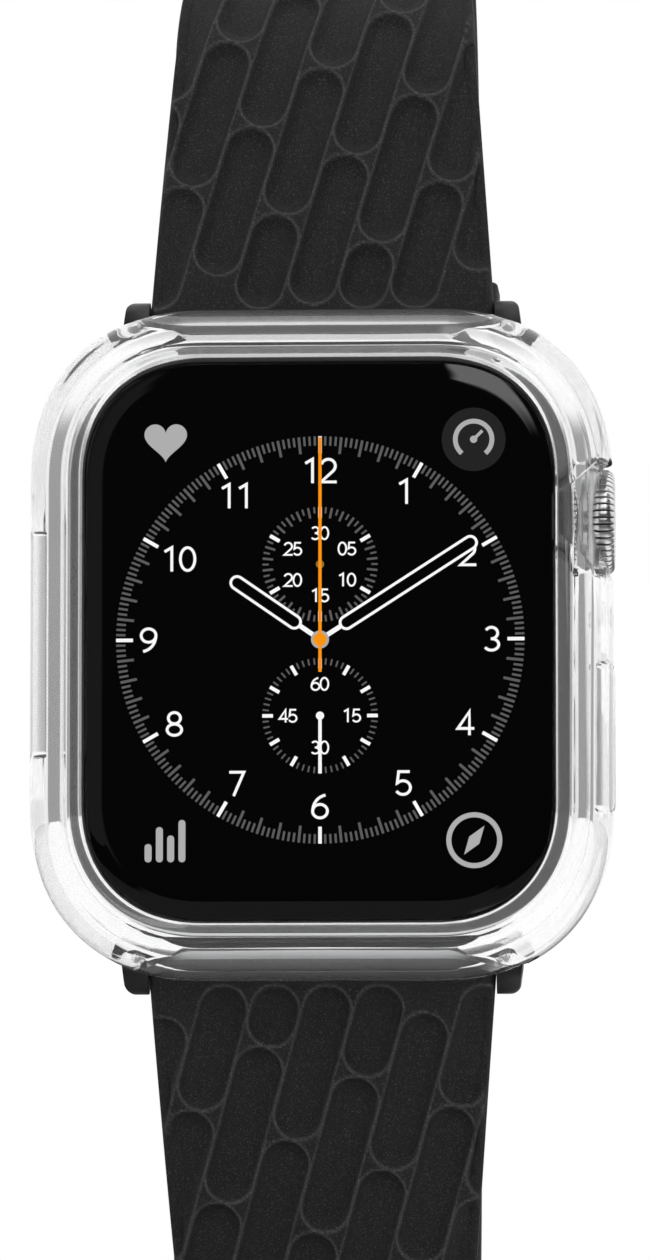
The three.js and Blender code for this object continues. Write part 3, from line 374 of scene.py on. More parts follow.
# Corner marks of the dial
CORNER_PLACES = {
    "upper_left": (165, 438),
    "upper_right": (474, 439),
    "lower_left": (165, 841),
    "lower_right": (474, 841),
}
HEART_SCALE = 0.095
CORNER_DISC = 2.27
GAUGE_RADIUS = 1.3
GAUGE_ENDS = (-50, 230)
GAUGE_WIDTH = 0.34
NEEDLE_TIP = (0.62, 0.62)
NEEDLE_WIDTH = 0.22
NEEDLE_HUB = 0.26
CHART_BARS = [(-1.2, 1.3), (-0.4, 2.5), (0.4, 1.9), (1.2, 3.0)]
CHART_DROP = 1.5
CHART_BAR_WIDTH = 0.5
CHART_BAR_CORNER = 0.24
COMPASS_RADIUS = 1.8
COMPASS_WIDTH = 0.36
COMPASS_POINT = (0.72, 1.02)
COMPASS_SIDE = (0.36, -0.25)

# Studio: levels of light by direction, 1 being white
WORLD_LEVEL = 0.5
AROUND_LEVEL = 0.9
AROUND_RISE = 0.25
OVERHEAD_FALL = 0.45
SIDE_FALL = 0.64
CAMERA_SIDE_LEVEL = 0.3
WINDOW_LEVEL = 3.0
DIM_WALL_LEVEL = 0.2
LEAST_LEVEL = 0.004

# Floor: low enough for the lower strap's whole swing, and its levels in what clear pieces show
FLOOR_DROP = 5.4
FLOOR_REACH = 4000.0
FLOOR_SEEN_LEVEL = 1.1
FLOOR_MIRROR_LEVEL = 0.2
FLOOR_BESIDE_LEVEL = 0.8

# Lamps: place and size in metres, and power in watts
LAMPS = {
    "key": ((-0.2, -0.58, 0.52), (0.35, 0.45), 3.0),
    "fill": ((0.7, -0.4, -0.1), (0.3, 0.6), 0.8),
}


class Wire:
    """An output of a node, so that maths on it is written as an expression."""

    def __init__(self, nodes, socket):
        self.nodes = nodes
        self.socket = socket

    def maths(self, operation, *others):
        return self.nodes.maths(operation, self, *others)

    def __add__(self, other):
        return self.maths("ADD", other)

    def __radd__(self, other):
        return self.nodes.maths("ADD", other, self)

    def __sub__(self, other):
        return self.maths("SUBTRACT", other)

    def __rsub__(self, other):
        return self.nodes.maths("SUBTRACT", other, self)

    def __mul__(self, other):
        return self.maths("MULTIPLY", other)

    def __rmul__(self, other):
        return self.nodes.maths("MULTIPLY", other, self)

    def __truediv__(self, other):
        return self.maths("DIVIDE", other)

    def floor(self):
        return self.maths("FLOOR")

    def high(self, other):
        return self.maths("MAXIMUM", other)

    def low(self, other):
        return self.maths("MINIMUM", other)

    def below(self, other):
        return self.maths("LESS_THAN", other)

    def step(self, start, end):
        """0 up to start, 1 from end, and smooth between them."""
        return self.nodes.add(
            "ShaderNodeMapRange",
            {"interpolation_type": "SMOOTHSTEP"},
            {0: self, 1: start, 2: end, 3: 0.0, 4: 1.0},
        )

    def between(self, start, full, last, end):
        """0 up to start, 1 from full to last, and 0 from end."""
        return self.step(start, full) * (1 - self.step(last, end))


class Nodes:
    """A node tree, with one method that adds any node to it."""

    def __init__(self, tree):
        self.tree = tree

    def add(self, kind, settings=None, sockets=None, output=0):
        node = self.tree.nodes.new(kind)
        for name, value in (settings or {}).items():
            setattr(node, name, value)
        for key, value in (sockets or {}).items():
            if isinstance(value, Wire):
                self.tree.links.new(value.socket, node.inputs[key])
            else:
                node.inputs[key].default_value = value
        return Wire(self, node.outputs[output]) if node.outputs else node

    def maths(self, operation, *values):
        return self.add("ShaderNodeMath", {"operation": operation}, dict(enumerate(values)))

    def mix(self, factor, first, second):
        """A colour between two, by a factor."""
        return self.add("ShaderNodeMix", {"data_type": "RGBA"}, {0: factor, 6: first, 7: second}, 2)

    def blend(self, factor, first, second):
        """A shader between two, by a factor."""
        return self.add("ShaderNodeMixShader", None, {0: factor, 1: first, 2: second})

    def show(self, shader):
        self.tree.links.new(shader.socket, self.tree.nodes["Material Output"].inputs["Surface"])

    def split(self, vector):
        """The x, y and z of a vector."""
        parts = self.add("ShaderNodeSeparateXYZ", None, {0: vector}).socket.node.outputs
        return [Wire(self, parts[name]) for name in "XYZ"]

    def place(self, stretch=(1, 1, 1)):
        """The place on the piece, in metres, stretched along the axes."""
        spot = self.add("ShaderNodeTexCoord", output="Object")
        return self.add("ShaderNodeMapping", None, {"Vector": spot, "Scale": stretch})

    def noise(self, scale, detail=2.0, stretch=(1, 1, 1)):
        return self.add(
            "ShaderNodeTexNoise", None, {"Vector": self.place(stretch), "Scale": scale, "Detail": detail}
        )

    def mark(self, name):
        """A value kept on the points of the piece."""
        return self.add("ShaderNodeAttribute", {"attribute_name": name}, output="Fac")

    def keep(self, geometry, name, value):
        """The geometry with a value kept on its points under a name."""
        return self.add(
            "GeometryNodeStoreNamedAttribute",
            {"data_type": "FLOAT", "domain": "POINT"},
            {"Geometry": geometry, "Name": name, "Value": value},
        )

    def bump(self, height, distance, strength=1.0):
        """A normal for a height from 0 to 1, over a distance in millimetres."""
        return self.add(
            "ShaderNodeBump", None, {"Height": height, "Distance": distance * MM, "Strength": strength}
        )


# Finishes
def grey(level, alpha=1.0):
    return (level, level, level, alpha)


def finish(name, colour, roughness, metallic=0.0, **more):
    """A material with plain values, and its nodes and shader for what varies."""
    made = bpy.data.materials.new(name)
    made.use_nodes = True
    shader = made.node_tree.nodes["Principled BSDF"]
    values = {"Base Color": colour, "Roughness": roughness, "Metallic": metallic, **more}
    for socket, value in values.items():
        shader.inputs[socket].default_value = value
    return made, Nodes(made.node_tree), shader


def feed(nodes, shader, socket, wire):
    nodes.tree.links.new(wire.socket, shader.inputs[socket])


def grained(name, colour, roughness, metallic, pattern, rough, colours=None, height=None, **more):
    """A finish whose roughness, and colour and height if given, follow one noise."""
    made, nodes, shader = finish(name, colour, roughness, metallic, **more)
    grain = nodes.noise(*pattern)
    feed(nodes, shader, "Roughness", rough[0] + rough[1] * grain)
    if colours:
        feed(nodes, shader, "Base Color", nodes.mix(grain, *colours))
    if height:
        feed(nodes, shader, "Normal", nodes.bump(grain, *height))
    return made


def clear_plastic():
    """Clear elastomer: it refracts, and lets lamps through to what it covers."""
    made, nodes, shader = finish(
        "clear_elastomer", (0.985, 0.988, 0.99, 1), 0.01, IOR=1.47, **{"Transmission Weight": 0.98}
    )
    waves = nodes.noise(110, 1.5)
    feed(nodes, shader, "Normal", nodes.bump(waves, 0.03))
    see_through = nodes.add("ShaderNodeBsdfTransparent", None, {"Color": grey(0.92)})
    to_lamp = nodes.add("ShaderNodeLightPath", output="Is Shadow Ray")
    nodes.show(nodes.blend(to_lamp, Wire(nodes, shader.outputs[0]), see_through))
    return made


def silver_aluminium():
    """Fine blasted aluminium with a soft sheen."""
    made, nodes, shader = finish("silver_aluminium", (0.68, 0.685, 0.69, 1), 0.3, 1.0)
    grain = nodes.noise(14000, 2)
    cloud = nodes.noise(90, 2)
    feed(nodes, shader, "Roughness", 0.24 + 0.12 * grain + 0.05 * cloud)
    feed(nodes, shader, "Base Color", nodes.mix(cloud, (0.64, 0.645, 0.65, 1), (0.72, 0.725, 0.73, 1)))
    feed(nodes, shader, "Normal", nodes.bump(grain, 0.006, 0.5))
    return made


def knurled_steel():
    """Steel of the crown's rim: fine turning lines, rougher in the bottom of the grooves, and a painted shade
    there that turns the colour near black.
    """
    made, nodes, shader = finish("knurled_steel", grey(0.6), 0.3, 1.0)
    lines = nodes.noise(5000, 3, (1, 0.05, 0.05))
    groove = nodes.mark("groove")
    feed(nodes, shader, "Roughness", 0.26 + 0.1 * lines + 0.2 * groove)
    bright = nodes.mix(lines, grey(0.68), grey(0.9))
    # Painted shade: the groove mark turns the colour near black in the bottom of the grooves
    feed(nodes, shader, "Base Color", nodes.mix(groove, bright, grey(0.03)))
    return made


def satin_black():
    """Satin black coating on metal."""
    made, nodes, shader = finish("satin_black", grey(0.012), 0.38)
    grain = nodes.noise(16000, 2)
    cloud = nodes.noise(160, 2)
    feed(nodes, shader, "Roughness", 0.3 + 0.14 * grain)
    feed(nodes, shader, "Base Color", nodes.mix(cloud, grey(0.009), grey(0.016)))
    feed(nodes, shader, "Normal", nodes.bump(grain, 0.01, 0.5))
    return made


def strap_rubber():
    """Matte rubber with a fine speckled grain, and a painted highlight along the ridges round the dimples."""
    made, nodes, shader = finish("strap_rubber", grey(0.012), 0.6, **{"Specular IOR Level": 0.25})
    grain = nodes.noise(7500, 3)
    speck = nodes.noise(11000, 1).step(0.55, 0.72)
    cloud = nodes.noise(120, 2)
    # The ridge mark paints a highlight: a lighter colour and brighter speckles along the crests round the
    # dimples
    ridge = nodes.mark("ridge")
    dusted = nodes.mix(cloud, grey(0.0105), grey(0.0145))
    ridge_highlighted = nodes.mix(ridge, dusted, grey(0.04))
    feed(nodes, shader, "Base Color", nodes.mix(speck * (0.35 + 0.6 * ridge), ridge_highlighted, grey(0.11)))
    feed(nodes, shader, "Roughness", 0.52 + 0.2 * grain)
    feed(nodes, shader, "Normal", nodes.bump(grain, 0.04, 0.8))
    return made


def lit(name, colour):
    """Lit picture elements just under the polish of the glass."""
    return grained(
        name, grey(0.0015), 0.02, 0.0, pattern=(60, 3), rough=(0.012, 0.02),
        IOR=1.5, **{"Emission Color": colour, "Emission Strength": 1.0},
    )


def circuit_board():
    """Green solder mask with paler tracks."""
    made, nodes, shader = finish("circuit_board", (0.02, 0.11, 0.055, 1), 0.45)
    tracks = nodes.noise(700, 0, (1, 1, 0.15)).step(0.52, 0.56)
    feed(nodes, shader, "Base Color", nodes.mix(tracks, (0.015, 0.085, 0.04, 1), (0.05, 0.2, 0.1, 1)))
    feed(nodes, shader, "Normal", nodes.bump(tracks, 0.03))
    return made


def speaker_weave():
    """Woven metal mesh with small round gaps."""
    made, nodes, shader = finish("speaker_weave", grey(0.3), 0.5, 0.7)
    cells = nodes.add("ShaderNodeTexVoronoi", None, {"Vector": nodes.place(), "Scale": 3300}, "Distance")
    holes = cells.step(0.2, 0.35)
    feed(nodes, shader, "Base Color", nodes.mix(holes, grey(0.02), grey(0.42)))
    feed(nodes, shader, "Normal", nodes.bump(holes, 0.05))
    return made


CLEAR = clear_plastic()
ALUMINIUM = silver_aluminium()

# Polished steel with faint turning lines
POLISHED = grained(
    "polished_steel", (0.74, 0.74, 0.75, 1), 0.12, 1.0, pattern=(4000, 3, (1, 0.05, 0.05)), rough=(0.1, 0.12),
    colours=((0.66, 0.66, 0.67, 1), (0.82, 0.82, 0.83, 1)),
)

KNURLED = knurled_steel()

# Steel brushed across its width
BRUSHED = grained(
    "brushed_steel", (0.68, 0.69, 0.7, 1), 0.28, 1.0, pattern=(9000, 3, (0.04, 1, 1)), rough=(0.2, 0.2),
    colours=((0.56, 0.57, 0.58, 1), (0.78, 0.79, 0.8, 1)), height=(0.01, 0.6),
)

SATIN = satin_black()
RUBBER = strap_rubber()
SEAL = grained("seal_rubber", grey(0.01), 0.8, 0.0, pattern=(9000, 2), rough=(0.7, 0.2))

# Polished glass over a black border and a dark display
GLASS = grained(
    "cover_glass", (0.0015, 0.0015, 0.0018, 1), 0.02, 0.0, pattern=(60, 3), rough=(0.012, 0.02), IOR=1.5
)
CERAMIC = grained("black_ceramic", grey(0.012), 0.1, 0.0, pattern=(80, 3), rough=(0.06, 0.1), IOR=1.8)
BOARD = circuit_board()
CHIP = grained(
    "moulded_chip", grey(0.03), 0.55, 0.0, pattern=(6000, 2), rough=(0.45, 0.2),
    colours=(grey(0.022), grey(0.042)),
)
FOIL = grained("battery_foil", grey(0.42), 0.4, 0.9, pattern=(400, 4), rough=(0.3, 0.25), height=(0.08,))
COPPER = grained(
    "copper", (0.8, 0.42, 0.22, 1), 0.25, 1.0, pattern=(3000, 2), rough=(0.18, 0.2),
    colours=((0.68, 0.32, 0.16, 1), (0.88, 0.5, 0.28, 1)),
)
WEAVE = speaker_weave()
WHITE_LIGHT = lit("dial_white", (0.93, 0.93, 0.93, 1))
GREY_LIGHT = lit("dial_grey", (0.105, 0.105, 0.105, 1))
SOFT_LIGHT = lit("dial_silver", (0.42, 0.42, 0.42, 1))
DIM_LIGHT = lit("dial_dim", (0.016, 0.016, 0.016, 1))
ORANGE_LIGHT = lit("dial_orange", (0.945, 0.296, 0.005, 1))
AMBER_LIGHT = lit("dial_amber", (0.3, 0.16, 0.03, 1))
NO_LIGHT = lit("dial_black", (0, 0, 0, 1))


# Making meshes
def make(name, points, faces):
    """A mesh object from points in millimetres, its faces turned outwards."""
    mesh = bpy.data.meshes.new(name)
    mesh.from_pydata((np.asarray(points, float) * MM).tolist(), [], faces)
    shape = bmesh.new()
    shape.from_mesh(mesh)
    bmesh.ops.recalc_face_normals(shape, faces=shape.faces)
    shape.to_mesh(mesh)
    shape.free()
    made = bpy.data.objects.new(name, mesh)
    bpy.context.scene.collection.objects.link(made)
    return made


def settle(piece):
    """The piece's modifiers worked into a plain mesh."""
    graph = bpy.context.evaluated_depsgraph_get()
    mesh = bpy.data.meshes.new_from_object(piece.evaluated_get(graph))
    piece.modifiers.clear()
    piece.data = mesh
    return piece


def open_tree(name, sizes, others=()):
    """A new geometry tree's nodes, and its named inputs."""
    tree = bpy.data.node_groups.new(name, "GeometryNodeTree")
    for label, kind in [("Geometry", "Geometry"), *[(size, "Float") for size in sizes], *others]:
        tree.interface.new_socket(label, in_out="INPUT", socket_type=f"NodeSocket{kind}")
    tree.interface.new_socket("Geometry", in_out="OUTPUT", socket_type="NodeSocketGeometry")
    nodes = Nodes(tree)
    given = tree.nodes.new("NodeGroupInput")
    return nodes, {socket.name: Wire(nodes, socket) for socket in given.outputs if socket.name}


def close_tree(nodes, geometry, material):
    """The finished tree: its instances made real and its faces painted."""
    whole = nodes.add("GeometryNodeRealizeInstances", None, {"Geometry": geometry})
    painted = nodes.add("GeometryNodeSetMaterial", None, {"Geometry": whole, "Material": material})
    shown = nodes.tree.nodes.new("NodeGroupOutput")
    nodes.tree.links.new(painted.socket, shown.inputs["Geometry"])
    return nodes.tree


def carve(piece, cutters, operation="DIFFERENCE"):
    """The piece with other shapes cut away, joined on, or kept only where they meet it."""
    for cutter in cutters:
        modifier = piece.modifiers.new("carve", "BOOLEAN")
        modifier.operation = operation
        modifier.solver = "EXACT"
        modifier.object = cutter
    settle(piece)
    for cutter in cutters:
        bpy.data.objects.remove(cutter)
    return piece


def soften(piece, width, segments=3, angle=35):
    """The piece with its sharp edges rounded."""
    modifier = piece.modifiers.new("soften", "BEVEL")
    modifier.width = width * MM
    modifier.segments = segments
    modifier.limit_method = "ANGLE"
    modifier.angle_limit = math.radians(angle)
    modifier.miter_outer = "MITER_ARC"
    return settle(piece)


def dress(piece, material, body, replaces=(), sharp=35):
    """The finished piece, with its material, on the body that carries it."""
    piece.data.materials.clear()
    piece.data.materials.append(material)
    piece.data.shade_smooth()
    piece.data.set_sharp_from_angle(angle=math.radians(sharp))
    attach(piece, body)
    if replaces:
        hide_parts(*replaces)
    return piece


def loft(name, rings, loop=False):
    """A closed body through rings of points, capped at both ends or joined end to end."""
    count = len(rings[0])
    faces = []
    for ring in range(len(rings) if loop else len(rings) - 1):
        here = ring * count
        after = (ring + 1) % len(rings) * count
        faces += [
            (here + i, here + (i + 1) % count, after + (i + 1) % count, after + i) for i in range(count)
        ]
    if not loop:
        last = (len(rings) - 1) * count
        faces += [tuple(range(count)), tuple(range(last, last + count))]
    return make(name, np.concatenate(rings), faces)


def across_plane(u, v, w):
    """A shape drawn across and along the watch, pushed forwards by depth."""
    return (u, -w, v)


def side_plane(u, v, w):
    """A shape drawn in depth and along the watch, pushed across it."""
    return (w, -u, v)


def end_plane(u, v, w):
    """A shape drawn across and in depth, pushed along the watch."""
    return (u, -v, w)


def prism(name, shape, plane, low, high):
    """A flat shape pushed from one place to another."""
    rings = [np.array([plane(u, v, w) for u, v in shape]) for w in (low, high)]
    return loft(name, rings)


def rounded(width, height, radius, middle=(0, 0), steps=10):
    """A rectangle with round corners about a middle."""
    corners = [(1, 1), (-1, 1), (-1, -1), (1, -1)]
    points = []
    for number, (right, up) in enumerate(corners):
        for step in range(steps + 1):
            angle = QUARTER * (number + step / steps)
            points.append((
                middle[0] + right * (width / 2 - radius) + radius * math.cos(angle),
                middle[1] + up * (height / 2 - radius) + radius * math.sin(angle),
            ))
    return points


def stadium(width, height, middle=(0, 0), steps=10):
    """A shape with round ends."""
    return rounded(width, height, min(width, height) / 2 - SEAM, middle, steps)


def circle(radius, middle=(0, 0), steps=48):
    turn = [TURN * step / steps for step in range(steps)]
    return [(middle[0] + radius * math.cos(a), middle[1] + radius * math.sin(a)) for a in turn]


def spun(name, profile, steps, place):
    """A round body from a profile of places along its axis and radii; place turns them into points."""
    turn = [TURN * step / steps for step in range(steps)]
    return loft(name, [
        np.array([place(along, radius * math.cos(a), radius * math.sin(a)) for a in turn])
        for along, radius in profile
    ])


def smooth_line(points, steps):
    """A smooth line through points, with a number of steps between each pair."""
    points = np.asarray(points, float)
    padded = np.vstack([2 * points[0] - points[1], points, 2 * points[-1] - points[-2]])
    line = []
    for i in range(1, len(padded) - 2):
        before, start, end, after = padded[i - 1:i + 3]
        for t in np.arange(steps) / steps:
            line.append(
                start + 0.5 * t * (end - before
                + t * (2 * before - 5 * start + 4 * end - after
                + t * (3 * start - before - 3 * end + after)))
            )
    line.append(points[-1])
    return np.array(line)


def outline(half, long, radius, depth):
    """A rounded rectangle with softened corners, at a depth."""
    angle = np.linspace(0, QUARTER, CORNER_STEPS + 1)
    power = 2 / CORNER_EXPONENT
    x = half - radius + radius * np.abs(np.cos(angle)) ** power
    z = long - radius + radius * np.abs(np.sin(angle)) ** power
    quarters = [(x, z), (-x[::-1], z[::-1]), (-x, -z), (x[::-1], -z[::-1])]
    flat = np.concatenate([np.column_stack(quarter) for quarter in quarters])
    return np.column_stack([flat[:, 0], np.full(len(flat), -depth), flat[:, 1]])


def watch_outline(inset, depth):
    return outline(HALF_WIDTH - inset, HALF_LENGTH - inset, CORNER - inset, depth)


def case_outline(inset, depth):
    """The case's outline: drawn out at its outer side, more along than across."""
    ring = watch_outline(inset - CASE_INSET, depth)
    for column, spread, fall in zip((0, 2), CASE_SPREAD, CASE_SPREAD_FALL):
        ring[:, column] += np.sign(ring[:, column]) * (spread - fall * inset / CASE_BAND)
    return ring


def housing_inset(depth):
    """The housing's inset from its widest outline, at a depth."""
    forwards = depth > WIDEST_PLANE
    reach = RIM_PLANE - WIDEST_PLANE if forwards else WIDEST_PLANE - BACK_PLANE
    share = min(1, abs(depth - WIDEST_PLANE) / reach)
    return (RIM_INSET if forwards else BACK_INSET) * (1 - math.sqrt(1 - share * share))


GLASS_EDGE = smooth_line(GLASS_EDGE_SHARES, 6)


def glass_plane(inset):
    """The cover glass's front at an inset from the housing's widest outline."""
    share = (inset - RIM_INSET) / GLASS_EDGE_WIDTH
    return GLASS_BACK + (GLASS_FRONT - GLASS_BACK) * np.interp(share, GLASS_EDGE[:, 0], GLASS_EDGE[:, 1])


# Housing and glass
def housing():
    """The rounded body, hollow for the glass and what lies inside, with its channels and side holes."""
    angles = np.linspace(-QUARTER, QUARTER, 2 * SIDE_STEPS + 1)
    depths = [
        WIDEST_PLANE + (RIM_PLANE - WIDEST_PLANE if a > 0 else WIDEST_PLANE - BACK_PLANE) * math.sin(a)
        for a in angles
    ]
    body = loft("housing_body", [watch_outline(housing_inset(depth), depth) for depth in depths])
    hollows = [
        (POCKET_INSET, POCKET_BACK, RIM_PLANE + OVERRUN),
        (HOUSING_WALL + CAVITY_LEDGE, CAVITY_BACK, POCKET_BACK + OVERLAP),
        (BACK_INSET + SEAT_LEDGE, BACK_PLANE - OVERRUN, SEAT_FRONT),
        (BACK_INSET + MOUTH_LEDGE, BACK_PLANE, CAVITY_BACK + OVERLAP),
    ]
    cutters = [
        loft("hollow", [watch_outline(inset, depth) for depth in planes]) for inset, *planes in hollows
    ]
    outside = HALF_WIDTH + OVERRUN
    inside = HALF_WIDTH - HOUSING_WALL - OVERRUN
    low, high = CHANNEL_PLANES
    release = RELEASE_HIGH - RELEASE_LOW + 2 * RUNNING_GAP
    for end in (1, -1):
        middle = ((low + high) / 2, end * HALF_LENGTH)
        channel = rounded(high - low, 2 * CHANNEL_DEPTH, CHANNEL_CORNER, middle)
        cutters.append(prism("channel", channel, side_plane, -outside, outside))
        slot = stadium(release[0], release[2], (0, end * RELEASE_ALONG))
        cutters.append(prism("release", slot, across_plane, BACK_PLANE - OVERRUN, low + OVERLAP))
    button = BUTTON_HIGH - BUTTON_LOW + 2 * RUNNING_GAP
    holes = [
        (circle(CROWN_BORE_RADIUS, (WIDEST_PLANE, CROWN_ALONG)), inside, outside),
        (stadium(button[1], button[2], BUTTON_MIDDLE), BUTTON_POCKET, outside),
        (stadium(*SPEAKER_SLOT, (WIDEST_PLANE, 0)), -outside, -inside),
        (circle(MICROPHONE_RADIUS, (WIDEST_PLANE, MICROPHONE_ALONG), 24), inside, outside),
    ]
    cutters += [prism("hole", shape, side_plane, start, end) for shape, start, end in holes]
    carve(body, cutters)
    soften(body, HOUSING_EDGE, 2, 50)
    return dress(body, ALUMINIUM, "watch", ["watch_housing"])


def glass():
    """The cover glass: flat in the middle, falling away towards its edge."""
    insets = [RIM_INSET + share * GLASS_EDGE_WIDTH for share in GLASS_EDGE[:, 0]]
    rings = [watch_outline(RIM_INSET, GLASS_BACK)]
    rings += [watch_outline(inset, glass_plane(inset)) for inset in insets]
    rings.append(watch_outline(insets[-1] + GLASS_FLAT_BORDER, GLASS_FRONT))
    return dress(loft("cover_glass", rings), GLASS, "watch", ["front_glass"], 60)


# Back cover with its round hole, the domed crystal, and the two release buttons
def back():
    cover_inset = HALF_WIDTH - COVER_HIGH[0]
    planes = (-COVER_HIGH[1], -COVER_LOW[1])
    cover = loft("back_plate", [watch_outline(cover_inset, plane) for plane in planes])
    radius = CRYSTAL_HIGH[0]
    hole = circle(radius + RUNNING_GAP, steps=FINE_ROUND)
    carve(cover, [prism("hole", hole, across_plane, -OVERRUN, BACK_HOLE_DEPTH)])
    soften(cover, BACK_EDGE, 2, 50)
    dress(cover, CERAMIC, "watch", ["back_cover"])
    edge = smooth_line([*CRYSTAL_EDGE, *[(radius, depth) for depth in CRYSTAL_RIM_DEPTHS]], 6)
    profile = [(0, CRYSTAL_MIDDLE), *[(depth, r) for r, depth in edge]]
    crystal = spun("back_window", profile, FINE_ROUND, lambda d, u, v: (u, -d, v))
    dress(crystal, CERAMIC, "watch", ["back_crystal"], 50)
    size = RELEASE_HIGH - RELEASE_LOW
    for end, side in ((1, "upper"), (-1, "lower")):
        shape = rounded(size[0], size[2], size[2] / 2 - RELEASE_FLAT, (0, end * RELEASE_ALONG))
        button = prism(f"release_{side}_key", shape, across_plane, -RELEASE_HIGH[1], -RELEASE_LOW[1])
        soften(button, RELEASE_EDGE)
        dress(button, ALUMINIUM, f"release_{side}", [f"release_button_{side}"])


# Crown with its knurled rim, made from a smooth round body by a rule
def knurl_tree(material):
    """Cuts fine grooves into the rim of a smooth round body, and marks them for the steel's painted shade."""
    nodes, size = open_tree("crown_knurl", (
        "Depth plane", "Along", "Teeth", "Fall", "Groove", "Groove share", "Inner radius", "Outer radius",
    ))
    _, y, z = nodes.split(nodes.add("GeometryNodeInputPosition"))
    y = y + size["Depth plane"]
    z = z - size["Along"]
    radius = (y * y + z * z).maths("SQRT")
    angle = z.maths("ARCTAN2", y) / TURN
    share = (angle * size["Teeth"]).maths("FRACT")
    from_groove = share.low(1 - share)
    deep = 1 - from_groove.step(0.0, size["Groove share"])
    rim = radius.step(size["Inner radius"], size["Outer radius"])
    off_middle = 1 - 2 * from_groove
    dip = deep * size["Groove"] + off_middle * off_middle * size["Fall"]
    scale = dip * rim / radius.high(MM / 10) * -1
    push = nodes.add("ShaderNodeCombineXYZ", None, {1: y * scale, 2: z * scale})
    # The groove mark is where the steel is rougher and where its colour paints shade
    marked = nodes.keep(size["Geometry"], "groove", deep * rim)
    moved = nodes.add("GeometryNodeSetPosition", None, {"Geometry": marked, "Offset": push})
    return close_tree(nodes, moved, material)


def run_tree(piece, tree, values):
    """The piece put through a geometry tree with its named sizes."""
    modifier = piece.modifiers.new("rule", "NODES")
    modifier.node_group = tree
    for item in tree.interface.items_tree:
        if item.in_out == "INPUT" and item.name in values:
            modifier[item.identifier] = values[item.name]
    return settle(piece)


def crown_place(along, u, v):
    return (along, -WIDEST_PLANE + u, CROWN_ALONG + v)


def crown():
    back_x, front_x = CROWN_LOW[0], CROWN_HIGH[0]
    bend = np.linspace(0, QUARTER, 7)
    rounding = CROWN_ROUNDING * np.column_stack([1 - np.sin(bend), 1 - np.cos(bend)])
    start = sorted((back_x + in_x, CROWN_RADIUS - in_r) for in_x, in_r in rounding)
    middle = [(x, CROWN_RADIUS) for x in np.linspace(back_x + CROWN_ROUNDING, front_x - CROWN_ROUNDING, 5)]
    end = sorted((front_x - in_x, CROWN_RADIUS - in_r) for in_x, in_r in rounding)
    cap_radius = CAP_HIGH[2] - CROWN_ALONG
    seat = cap_radius + CAP_GAP
    profile = [
        *[(back_x, radius) for radius in CROWN_BACK_RADII], *start, *middle[1:-1], *end,
        (front_x, CROWN_FACE_RADIUS), (front_x, seat),
        (front_x - CROWN_RECESS, seat), (front_x - CROWN_RECESS, CROWN_RECESS_RADIUS),
    ]
    knob = spun("crown_rim", profile, CROWN_TEETH * CROWN_STEPS, crown_place)
    run_tree(knob, knurl_tree(KNURLED), {
        "Depth plane": WIDEST_PLANE * MM,
        "Along": CROWN_ALONG * MM,
        "Teeth": float(CROWN_TEETH),
        "Fall": CROWN_TOOTH_FALL * MM,
        "Groove": CROWN_GROOVE * MM,
        "Groove share": CROWN_GROOVE_SHARE,
        "Inner radius": (CROWN_RADIUS - CROWN_ROUNDING) * MM,
        "Outer radius": (CROWN_RADIUS - CROWN_ROUNDING / 2) * MM,
    })
    dress(knob, KNURLED, "crown", ["crown_knob"])
    cap_profile = [
        (CAP_LOW[0], CAP_CORE), (CAP_LOW[0], cap_radius - CAP_EDGE[0][1]),
        *[(CAP_HIGH[0] - inwards, cap_radius - inset) for inwards, inset in CAP_EDGE],
        *[(CAP_HIGH[0] - inwards, radius) for inwards, radius in CAP_DISH],
    ]
    disc = spun("crown_end_disc", cap_profile, FINE_ROUND, crown_place)
    dress(disc, BRUSHED, "crown", ["crown_cap"])


def side_button():
    size = BUTTON_HIGH - BUTTON_LOW
    shape = stadium(size[1], size[2], BUTTON_MIDDLE)
    button = prism("side_key", shape, side_plane, BUTTON_HIGH[0] - BUTTON_DEPTH, BUTTON_HIGH[0])
    soften(button, BUTTON_EDGE)
    stem = circle(STEM_RADIUS, BUTTON_MIDDLE, SMALL_ROUND)
    carve(button, [prism("stem", stem, side_plane, BUTTON_LOW[0], BUTTON_HIGH[0] - STEM_COVER)], "UNION")
    dress(button, ALUMINIUM, "side_button", ["side_button"])


# Clear case: one rounded band with a lip over the edge of the glass, and its openings
def case_band():
    """The closed band: its rounded outer side, the lip over the glass and the wall round the housing."""
    depth = CASE_FRONT - CASE_BACK
    outer = smooth_line([(i * CASE_BAND, CASE_BACK + f * depth) for i, f in CASE_OUTER_SHARES], 5)
    lip = [
        (CASE_INSET + inset, glass_plane(inset) + CASE_GLASS_GAP)
        for inset in np.linspace(CASE_LIP_REACH, RIM_INSET, 9)
    ]
    wall = [
        (CASE_WALL + housing_inset(plane), plane)
        for plane in np.linspace(RIM_PLANE, CASE_STRAIGHT_PLANE, 7)
    ]
    section = [*outer, *lip, *wall, (CASE_WALL, CASE_BACK + CASE_HEEL), (CASE_WALL, CASE_BACK)]
    return loft("clear_band", [case_outline(inset, plane) for inset, plane in section], loop=True)


